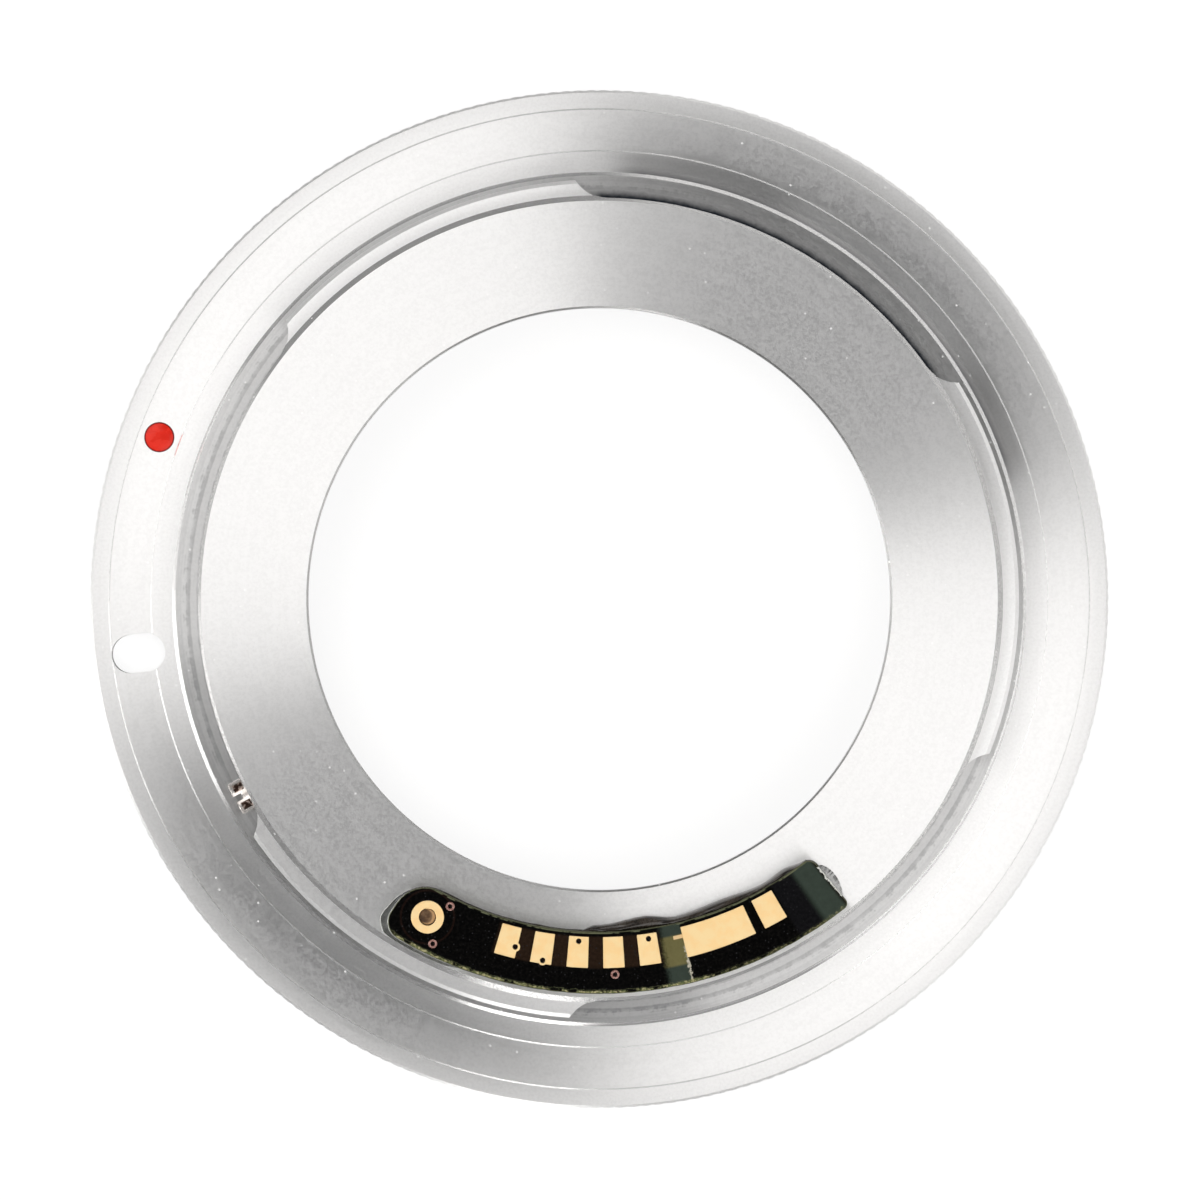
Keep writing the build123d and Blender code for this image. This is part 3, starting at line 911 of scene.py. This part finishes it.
def turned_shader(name, roughness, metallic, shade, anisotropy=1.0, relief=0.55):
    """Bare aluminium with fine concentric tool marks, grain and specks of dust.

    Less metallic is more matt, shade scales the whole colour, as painted shade below 1 and painted light
    above 1, and relief is the strength of the marks."""
    shader = Shader(name)
    x, y, z = shader.split(shader.millimetres)
    radius = shader.radius()
    marks = shader.noise(5.0, 4.0, 0.65, shader.join(shader.plus(radius, z)))
    turn_x, turn_y, _ = shader.split(shader.vector("NORMALIZE", shader.join(x, y)))
    along = shader.join(shader.times(radius, 3.0), shader.times(turn_x, 6.0), shader.times(turn_y, 6.0))
    streaks = shader.noise(1.0, 3.0, 0.6, along)
    grain = shader.noise(5.5, 2.0, 0.7)
    specks = shader.dots(1.1, 0.11, 0.45)
    tone = shader.plus(shader.times(grain, 0.75), shader.times(streaks, 0.25))
    bright = shader.step(tone, 0.34, 0.62)
    clean = shader.minus(1.0, shader.times(specks, 0.9))
    shader.bare = shader.times(clean, shader.ramp(bright, 0.0, 1.0, 1.11, 0.86))
    colour = shader.mix(bright, (0.85 * shade,) * 3, (0.905 * shade,) * 3)
    shader.set(
        Base_Color=shader.mix(specks, colour, (0.97, 0.97, 0.97)),
        Metallic=shader.times(metallic, shader.bare),
        Roughness=shader.step(tone, 0.2, 0.8, roughness + 0.03, roughness - 0.03),
        Anisotropic=anisotropy,
        Anisotropic_Rotation=0.25,
        Specular_IOR_Level=0.2,
    )
    tangent = shader.node("ShaderNodeTangent", direction_type="RADIAL", axis="Z")
    shader.put(shader.surface.inputs["Tangent"], tangent.outputs[0])
    height = shader.plus(shader.times(marks, 0.45), shader.times(grain, 0.55))
    shader.bump(height, 0.002, relief)
    return shader


def paint_shade(shader, share, metallic, colour):
    """Paints shade over a turned finish: a dark colour, less metallic, in full where share is 1."""
    shader.cover(share, colour)
    bare = shader.times(shader.bare, shader.minus(1.0, share))
    shader.put(shader.surface.inputs["Metallic"], shader.times(metallic, bare))


def flange_finish():
    """Turned finish of the flange's lands, more matt towards the rim, with painted shade beside the boss and
    on its inner land on one side.
    """
    shader = turned_shader("turned_flange", 0.36, 0.96, 1.0)
    radius = shader.radius()
    matt = shader.ramp(radius, SEAT_LAND_RADIUS, RIM_LAND_RADIUS, 1.0, 0.72)
    edge = shader.ramp(radius, RIM_LAND_RADIUS, FLANGE_RADIUS - RIM_CHAMFER, 0.04, 0.32)
    on_rim = shader.step(radius, RIM_LAND_RADIUS - 0.04, RIM_LAND_RADIUS + 0.06)
    metallic = shader.minus(matt, shader.times(edge, on_rim))
    # Painted shade: the lands are darkened beside the boss's foot on one side.
    foot = shader.step(radius, BOSS_FOOT_RADIUS, BOSS_FOOT_RADIUS + 0.55, 0.7, 0.0)
    side = shader.window(shader.azimuth(), *FLANGE_PAINTED_SHADE, 3)
    paint_shade(shader, shader.times(foot, side), metallic, (0.10, 0.10, 0.11))
    # More painted shade: the inner land is darkened at both ends of that side, but not in its middle.
    inner_land = shader.step(radius, BOSS_FOOT_RADIUS + 0.9, SEAT_LAND_RADIUS + 0.6, 0.3, 0.0)
    ends = shader.minus(side, shader.window(shader.azimuth(), *FLANGE_SHADE_BREAK, 5))
    shader.cover(shader.times(inner_land, ends), (0.0,) * 3)
    return shader.material


def bevel_finish():
    """Smooth finish of the boss's bevel, darkened as a whole and with painted shade along its foot in some
    places.
    """
    # The shade of 0.85 is painted shade on the whole bevel.
    shader = turned_shader("turned_bevel", 0.15, 0.95, 0.85, anisotropy=0.5, relief=0.12)
    # Painted shade along the bevel's foot, in patches round the axis.
    foot = shader.step(shader.radius(), BOSS_RADIUS + 0.08, BOSS_FOOT_RADIUS - 0.03)
    paint_shade(shader, shader.times(foot, shader.patches(BEVEL_PAINTED_SHADE, 4)), 0.95, (0.02, 0.02, 0.022))
    return shader.material


def groove_finish():
    """Turned finish of the gap floors, darkened as a whole, with darker rings, patches of painted shade, and
    a painted shadow along the wall of one gap.
    """
    # The shade of 0.78 is painted shade on all the gap floors.
    shader = turned_shader("turned_groove", 0.36, 0.93, 0.78)
    radius = shader.radius()
    cloud = shader.noise(2.0, 3.0, 0.6)
    reach = shader.plus(radius, shader.times(cloud, 0.25))
    # Painted shadow of the barrel wall on the gap floor, in one gap.
    along_wall = shader.step(reach, GAP_RADIUS + 0.35, GAP_RADIUS + 1.05, 1.0, 0.0)
    wall_shadow = shader.times(along_wall, shader.window(shader.azimuth(), *GROOVE_WALL_SHADOW, 1.5))
    # Darker rings of random tone, partly painted shade, weaker towards the boss's edge.
    rings = shader.noise(2.6, place=shader.join(radius, shader.times(cloud, 0.3)))
    outer = shader.step(radius, TAB_RADIUS - 0.15, TAB_RADIUS + 0.05)
    rings_and_shade = shader.times(shader.step(rings, 0.42, 0.6, 0.0, 0.27), shader.ramp(outer, 0.0, 1.0, 1.0, 0.4))
    # Patches of painted shade round the axis.
    rings_and_shade = shader.plus(rings_and_shade, shader.patches(GROOVE_PAINTED_SHADE, 5))
    metallic = shader.ramp(outer, 0.0, 1.0, 0.93, 1.0)
    paint_shade(shader, shader.math("MAXIMUM", wall_shadow, rings_and_shade), metallic, (0.010, 0.014, 0.022))
    return shader.material


# Plain finishes of the ring: roughness, metallic, shade, anisotropy and relief. A shade below 1 is painted
# shade and above 1 painted light.
PLAIN_FINISHES = {
    "walls": (0.36, 0.93, 1.0),
    "slopes": (0.15, 0.95, 1.0, 0.5, 0.12),
    # Painted light: the edges are lighter than the rest of the aluminium.
    "edges": (0.3, 0.52, 1.06, 0.5, 0.12),
    # Painted shade: a dark rim on the hole's chamfer.
    "bore": (0.36, 0.9, 0.55, 0.5, 0.12),
    "plate": (0.36, 0.69, 1.0),
    # Painted light: the tabs are lighter, in place of the light that the barrel wall blocks from them.
    "tabs": (0.34, 0.64, 1.07, 1.0, 0.15),
    "underside": (0.36, 0.8, 1.0, 1.0, 0.15),
}

# Height of each kind of flat face of the ring
RING_LEVELS = {
    "plate": (BARREL_TOP,),
    "tabs": (TAB_TOP,),
    "groove": (BOSS_TOP,),
    "flange": (FLANGE_THICKNESS, FLANGE_THICKNESS - LAND_STEP, RIM_FACE),
}


def ring_finish(face):
    """Name of the finish of one of the ring's faces, by its slope and place."""
    height = face.center.z / MM
    if face.normal.z < -0.98:
        return "underside"
    if face.normal.z < 0.15:
        return "walls"
    if face.normal.z > 0.98:
        found = [name for name, levels in RING_LEVELS.items() if any(abs(height - z) < 0.01 for z in levels)]
        return found[0] if found else "walls"
    radius = hypot(face.center.x, face.center.y) / MM
    if BOSS_RADIUS < radius < BOSS_FOOT_RADIUS:
        return "bevel"
    if radius < HOLE_RADIUS + HOLE_CHAMFER:
        return "bore"
    on_tab = TAB_BOTTOM < height < TAB_TOP
    return "edges" if radius > FLANGE_RADIUS - RIM_CHAMFER or on_tab else "slopes"


def dress_ring(ring):
    """Plain finishes for most faces, and one each for the bevel, the gap floors and the flange."""
    finishes = {name: turned_shader(f"turned_{name}", *values).material
                for name, values in PLAIN_FINISHES.items()}
    finishes.update(bevel=bevel_finish(), groove=groove_finish(), flange=flange_finish())
    dress(ring, *finishes.values())
    order = list(finishes)
    for face in ring.data.polygons:
        face.material_index = order.index(ring_finish(face))


def red_enamel():
    """Red enamel, darker in a ring where it meets the pit's wall."""
    shader = Shader("red_enamel")
    cloud = shader.noise(1.6, 3.0)
    rim = shader.step(shader.away(polar(*DOT_PLACE)), DOT_RADIUS - 0.13, DOT_RADIUS - 0.03)
    red = shader.mix(shader.step(cloud, 0.3, 0.7), (0.84, 0.022, 0.009), (0.95, 0.034, 0.015))
    shader.set(
        Base_Color=shader.mix(rim, red, (0.16, 0.010, 0.018)),
        Roughness=shader.step(cloud, 0.4, 0.6, 0.22, 0.34),
        Specular_IOR_Level=0.22,
    )
    shader.bump(shader.noise(3.5, 2.0), 0.03, 0.5)
    return shader.material


def polished_steel():
    """Bright steel of the stop screw, with a painted dark reflection on either side of its slot, away from
    its edges, and painted glints in that reflection.
    """
    shader = Shader("polished_steel")
    smear = shader.noise(2.5, 3.0)
    along = shader.vector("DOT_PRODUCT", shader.millimetres, (*polar(1, SCREW_ANGLE), 0))
    across = shader.vector("DOT_PRODUCT", shader.millimetres, (*polar(1, SCREW_ANGLE + 90), 0))
    # Painted reflection: two dark brown patches where the round head would mirror the dark round of the
    # camera overhead.
    painted_reflection = shader.times(
        shader.window(shader.math("ABSOLUTE", across), SCREW_SLOT[0] / 2 + 0.15, SCREW_HEAD[0] - 0.22, 0.04),
        shader.window(along, SCREW_SEAT + 0.2, SCREW_SEAT + SCREW_HEAD[1] - 0.24, 0.04),
    )
    steel = shader.mix(shader.step(smear, 0.35, 0.7), (0.80, 0.77, 0.74), (0.70, 0.64, 0.60))
    # Painted glints: lighter spots in the dark reflection.
    glint = shader.noise(3.6, 2.0)
    brown = shader.mix(shader.step(glint, 0.5, 0.6), (0.05, 0.025, 0.016), (0.48, 0.38, 0.33))
    shader.set(
        Base_Color=shader.mix(painted_reflection, steel, brown),
        Metallic=0.7,
        Roughness=shader.step(smear, 0.3, 0.7, 0.2, 0.32),
    )
    shader.bump(shader.noise(9.0, 2.0), 0.004, 0.4)
    return shader.material


def gold_plating():
    """Soft gold over nickel, copper brown at the foot of its edges."""
    shader = Shader("gold_plating")
    x, y, z = shader.split(shader.millimetres)
    mottle = shader.noise(1.3, 3.0)
    grain = shader.noise(11.0, 2.0)
    gold = shader.mix(shader.step(mottle, 0.35, 0.65), (1.0, 0.71, 0.35), (1.0, 0.76, 0.41))
    foot = shader.step(z, GOLD_TOP - 0.035, GOLD_TOP - 0.012, 1.0, 0.0)
    shader.set(
        Base_Color=shader.mix(foot, gold, (0.22, 0.06, 0.03)),
        Metallic=1.0,
        Roughness=shader.step(grain, 0.3, 0.7, 0.36, 0.46),
    )
    shader.bump(grain, 0.003, 0.5)
    return shader.material


def bare_copper():
    """Dull copper of the small plated holes."""
    shader = Shader("bare_copper")
    grain = shader.noise(9.0, 3.0)
    shader.set(
        Base_Color=shader.mix(shader.step(grain, 0.35, 0.65), (0.20, 0.09, 0.075), (0.52, 0.32, 0.28)),
        Metallic=1.0,
        Roughness=0.42,
    )
    shader.bump(grain, 0.004, 0.5)
    return shader.material


def board_laminate():
    """Black solder mask over green glass laminate, which shows at the edges and in one window."""
    shader = Shader("board_laminate")
    x, y, z = shader.split(shader.millimetres)
    radius, azimuth = shader.radius(), shader.azimuth()
    weave = shader.noise(5.0, 3.0, 0.7)
    fibre = shader.noise(2.2, 4.0, 0.7)
    mask = shader.mix(shader.step(weave, 0.4, 0.75), (0.0006,) * 3, (0.006, 0.0055, 0.005))
    shader.set(Base_Color=mask, Roughness=shader.step(weave, 0.3, 0.7, 0.34, 0.5), Specular_IOR_Level=0.02)
    on_row = shader.window(azimuth, NARROW_PADS[0] - 2, NARROW_PADS[-1] + 2, 0.4)
    pad_row = shader.times(on_row, shader.window(radius, PAD_INNER, PAD_OUTER, 0.1))
    shader.cover(pad_row, shader.mix(weave, (0.004, 0.002, 0.001), (0.040, 0.022, 0.013)))
    copper_ring = shader.window(shader.away(polar(*LOCATING_RING)), 1.62, 1.74, 0.04)
    shader.cover(shader.times(copper_ring, weave), (0.022, 0.010, 0.007))
    shader.cover(shader.dots(5.0, 0.3, 0.3), (0.022, 0.022, 0.024))
    scuffed = shader.window(azimuth, END_PAD[1] + 0.3, BARE_END[0] + 0.5, 0.3)
    shader.cover(shader.times(scuffed, weave), (0.010, 0.010, 0.012))
    dark_green = shader.mix(fibre, (0.030, 0.040, 0.032), (0.056, 0.076, 0.060))
    last_edge = shader.step(azimuth, BOARD_SPAN[1] - 0.8, BOARD_SPAN[1] - 0.1)
    end_green = shader.mix(last_edge, dark_green, (0.012, 0.009, 0.007))
    shader.cover(shader.step(azimuth, *BARE_END), end_green)
    olive = shader.mix(fibre, (0.12, 0.11, 0.045), (0.21, 0.19, 0.08))
    torn = shader.plus(azimuth, shader.times(shader.minus(weave, 0.5), 1.6))
    window_end = shader.step(torn, WINDOW_END - 0.1, WINDOW_END, 1.0, 0.0)
    window = shader.times(shader.step(torn, *WINDOW_START), window_end)
    middle = shader.window(radius, TRACE_TAB[0] - 0.02, PAD_OUTER + 0.37, 0.1)
    shader.cover(window, shader.mix(middle, dark_green, olive))
    outer_half = shader.step(radius, PAD_ROW + 0.155, PAD_ROW + 0.355)
    burr = shader.times(shader.window(torn, WINDOW_END - 0.3, WINDOW_END, 0.06), outer_half)
    shader.cover(burr, (0.55, 0.52, 0.42))
    frayed = shader.plus(radius, shader.times(fibre, 0.4))
    broken = shader.step(shader.noise(0.9, 3.0, 0.7), 0.42, 0.52)
    fading = shader.step(azimuth, WINDOW_END + 0.05, WINDOW_END + 5.05, 1.0, 0.35)
    strip = shader.step(frayed, BOARD_OUTER - 0.02, BOARD_OUTER + 0.04)
    raw = shader.mix(shader.step(weave, 0.45, 0.6), (0.12, 0.14, 0.06), (0.50, 0.46, 0.24))
    shader.cover(shader.times(strip, shader.times(broken, fading)), raw)
    cracked = shader.window(frayed, BOARD_OUTER - 0.06, BOARD_OUTER - 0.03, 0.015)
    shader.cover(shader.times(cracked, shader.times(weave, fading)), (0.14, 0.15, 0.08))
    inner_line = shader.window(radius, BOARD_INNER + 0.05, BOARD_INNER + 0.12, 0.03)
    shader.cover(shader.times(inner_line, broken), (0.16, 0.17, 0.10))
    side = shader.step(z, BOARD_TOP - 0.03, BOARD_TOP - 0.005, 1.0, 0.0)
    shader.cover(side, shader.mix(fibre, (0.05, 0.06, 0.035), (0.17, 0.17, 0.10)))
    shader.bump(weave, 0.006, 0.6)
    return shader.material


def black_epoxy():
    """Black brown epoxy with a wet gloss."""
    shader = Shader("black_epoxy")
    cloud = shader.noise(1.2, 4.0, 0.6)
    shader.set(
        Base_Color=shader.mix(shader.step(cloud, 0.35, 0.7), (0.012, 0.009, 0.007), (0.05, 0.038, 0.028)),
        Roughness=shader.step(cloud, 0.3, 0.7, 0.14, 0.3),
        Coat_Weight=0.3,
        Coat_Roughness=0.08,
    )
    shader.bump(cloud, 0.03, 0.5)
    return shader.material


def brown_resin():
    """Dark brown resin, with a painted gold reflection on one side beside the hole's wall."""
    shader = Shader("brown_resin")
    cloud = shader.noise(1.5, 3.0, 0.6)
    x, y = polar(*LOCATING_RING)
    # Painted reflection of the hole's gold wall, in a crescent on one side.
    gold_reflection = shader.step(shader.away((x - 0.12, y + 0.03)), 0.36, 0.5)
    brown = shader.mix(shader.step(cloud, 0.35, 0.65), (0.10, 0.045, 0.012), (0.34, 0.20, 0.09))
    shader.set(Base_Color=shader.mix(gold_reflection, brown, (0.90, 0.56, 0.25)), Roughness=0.3)
    shader.bump(cloud, 0.02, 0.4)
    return shader.material


def moulded_package(name, low, high, gloss):
    """Fine grained plastic or ceramic of a small electronic part."""
    shader = Shader(name)
    grain = shader.noise(14.0, 3.0)
    shader.set(Base_Color=shader.mix(grain, low, high), Roughness=gloss)
    shader.bump(grain, 0.006, 0.5)
    return shader.material


def clear_glue():
    """Clear cyanoacrylate, milky where the glue's edge layer is 1, which is dried frost and painted
    highlight, and with a painted dark rim where that layer is below 0.
    """
    shader = Shader("clear_glue")
    haze = shader.noise(5.0, 4.0, 0.7)
    edge = shader.node("ShaderNodeAttribute", attribute_name="frost_and_glint").outputs["Fac"]
    milky_and_glint = shader.step(shader.plus(edge, shader.times(haze, 0.5)), 0.85, 1.15)
    # A dark rim where the layer is below 0: painted shade.
    rim = shader.step(edge, -0.8, -0.3, 1.0, 0.0)
    solid = shader.plus(shader.times(milky_and_glint, 0.75), shader.times(rim, 0.5))
    shader.set(
        # The clear part is a faint dark film, painted shade where refraction would darken what lies beneath.
        Base_Color=shader.mix(milky_and_glint, (0.10, 0.11, 0.10), (0.80, 0.82, 0.76)),
        Roughness=shader.step(haze, 0.5, 0.75, 0.08, 0.3),
        IOR=1.46,
        Alpha=shader.plus(solid, 0.18, clamp=True),
    )
    shader.bump(haze, 0.03, 0.4)
    return shader.material


def dress(piece, *materials):
    """Gives a piece its materials."""
    piece.data.materials.clear()
    for material in materials:
        piece.data.materials.append(material)


# Floor, camera and light
CAMERA_HEIGHT = 451.46
CAMERA_OFFSET = (0.041, -0.058)
SENSOR_WIDTH = 36.0
FOCAL_LENGTH = 211.6
FLOOR_SIZE = 4000.0
FLOOR_HEIGHT = -0.02

# Soft panels round the ring: azimuth, half width, lowest and highest elevation, strength
PANELS = (
    (145.0, 51.5, 42.0, 90.0, 1.91),
    (319.0, 50.5, 42.0, 90.0, 1.91),
    (230.0, 34.0, 42.0, 90.0, 0.17),
    (42.0, 44.0, -5.0, 14.0, 1.7),
    (166.0, 17.0, -5.0, 14.0, 2.1),
    (194.0, 11.5, -5.0, 14.0, 4.6),
    (260.0, 6.0, -5.0, 14.0, 6.5),
    (286.0, 15.0, -5.0, 14.0, 0.3),
    (329.3, 26.7, -5.0, 14.0, 2.35),
)
ROOM_LEVEL = 0.18
PANEL_SOFT_AZIMUTH = 5.0
PANEL_SOFT_ELEVATION = 6.0
LENS_SHADE_ANGLE = 9.0


def make_camera():
    """Camera on the ring's axis, at the photograph's distance and framing."""
    data = bpy.data.cameras.new("camera")
    data.sensor_width = SENSOR_WIDTH
    data.lens = FOCAL_LENGTH
    data.clip_start = 0.01
    data.clip_end = 20
    camera = bpy.data.objects.new("camera", data)
    camera.location = Vector((*CAMERA_OFFSET, CAMERA_HEIGHT)) * MM
    bpy.context.scene.collection.objects.link(camera)
    bpy.context.scene.camera = camera


def make_floor():
    """White floor that shows the ring's shadow, see-through from below and where the ring covers it."""
    bm = bmesh.new()
    half = FLOOR_SIZE / 2
    loop = [(-half, -half), (half, -half), (half, half), (-half, half)]
    bm.faces.new([bm.verts.new((x, y, FLOOR_HEIGHT)) for x, y in loop])
    floor = finish_mesh(bm, "floor", None)
    if floor.data.polygons[0].normal.z < 0:
        floor.data.flip_normals()
    shader = Shader("floor_white")
    both = shader.node("ShaderNodeMixShader")
    covered = shader.window(shader.radius(), THREAD_RADIUS + THREAD_MOUTH + 0.1, FLANGE_RADIUS - 0.1, 0.01)
    slot_side = shader.window(shader.azimuth(), SLOT_PLACE[1] - 3.5, SLOT_PLACE[1] + 3.5, 0.1)
    covered = shader.minus(covered, slot_side, clamp=True)
    behind = shader.node("ShaderNodeNewGeometry").outputs["Backfacing"]
    shader.put(both.inputs[0], shader.math("MAXIMUM", covered, behind))
    shader.tree.links.new(shader.surface.outputs[0], both.inputs[1])
    shader.tree.links.new(shader.node("ShaderNodeBsdfTransparent").outputs[0], both.inputs[2])
    shader.tree.links.new(both.outputs[0], shader.tree.nodes["Material Output"].inputs["Surface"])
    shader.set(Base_Color=(0.3, 0.3, 0.3), Roughness=1.0, Specular_IOR_Level=0.0)
    rays = shader.node("ShaderNodeLightPath")
    seen = shader.plus(rays.outputs["Is Camera Ray"], rays.outputs["Is Transmission Ray"], clamp=True)
    shader.surface.inputs["Emission Color"].default_value = (1, 1, 1, 1)
    shader.put(shader.surface.inputs["Emission Strength"], shader.times(seen, 0.82))
    dress(floor, shader.material)


class Sky(Shader):
    """Node tree of the world, with the same short calls."""

    def __init__(self):
        world = bpy.data.worlds.new("studio")
        bpy.context.scene.world = world
        world.use_nodes = True
        self.tree = world.node_tree
        self.surface = self.tree.nodes["Background"]
        self.direction = self.node("ShaderNodeTexCoord").outputs["Generated"]


def make_studio():
    """Soft panels round and above the ring, with the dark round of the camera overhead.

    The room below the floor mirrors the one above, for a ring that is seen from the lens side."""
    sky = Sky()
    x, y, z = sky.split(sky.direction)
    level = sky.vector("NORMALIZE", sky.join(x, y))
    z = sky.math("ABSOLUTE", z)
    total = ROOM_LEVEL
    for azimuth, half_width, lowest, highest, strength in PANELS:
        facing = sky.vector("DOT_PRODUCT", level, (*polar(1, azimuth), 0))
        across = sky.step(facing, cos(radians(half_width + PANEL_SOFT_AZIMUTH)),
                          cos(radians(half_width - PANEL_SOFT_AZIMUTH)))
        soft = PANEL_SOFT_ELEVATION
        rise = sky.step(z, sin(radians(lowest - soft)), sin(radians(lowest + soft)))
        lit = sky.times(across, rise)
        if highest < 90:
            fall = sky.step(z, sin(radians(highest - soft)), sin(radians(highest + soft)), 1.0, 0.0)
            lit = sky.times(lit, fall)
        total = sky.plus(total, sky.times(lit, strength))
    shade = sky.step(z, cos(radians(LENS_SHADE_ANGLE + 2)), cos(radians(LENS_SHADE_ANGLE)), 1.0, 0.1)
    total = sky.times(total, shade)
    warm = sky.mix(sky.step(total, 0.5, 1.1), (1.0, 1.0, 1.0), (1.0, 0.985, 0.97))
    seen = sky.node("ShaderNodeLightPath").outputs["Is Camera Ray"]
    sky.put(sky.surface.inputs["Color"], sky.mix(seen, warm, (1.0, 1.0, 1.0)))
    sky.put(sky.surface.inputs["Strength"], sky.ramp(seen, 0.0, 1.0, total, 1.0))


# The object, put together
make_camera()
make_floor()
make_studio()
bpy.context.scene.view_settings.view_transform = "Standard"

gold, copper, epoxy, glue = gold_plating(), bare_copper(), black_epoxy(), clear_glue()
chip = moulded_package("chip_package", (0.01,) * 3, (0.03,) * 3, 0.6)
capacitor = moulded_package("capacitor_body", (0.30, 0.17, 0.08), (0.42, 0.27, 0.14), 0.45)
resistor = moulded_package("resistor_body", (0.02, 0.02, 0.025), (0.05, 0.05, 0.06), 0.4)

dress_ring(make_mount_ring())
dress(make_lens_thread(), turned_shader("turned_thread", *PLAIN_FINISHES["walls"]).material)
dress(make_red_dot(), red_enamel())
dress(make_stop_screw(), polished_steel())
dress(make_board(), board_laminate())
for piece in make_gold():
    dress(piece, copper if piece.name.startswith("via") else gold)
dress(make_epoxy(), epoxy)
dress(make_hole_floor(), brown_resin())
dress(make_start_glue(), glue)
dress(make_end_glue(), glue)

# Parts that are sealed in the board's pocket keep their solids
dress(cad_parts["pocket_potting"], epoxy)
dress(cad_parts["microcontroller"], chip)
dress(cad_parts["bypass_capacitor"], capacitor)
dress(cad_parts["pull_up_resistor_1"], resistor)
dress(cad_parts["pull_up_resistor_2"], resistor)
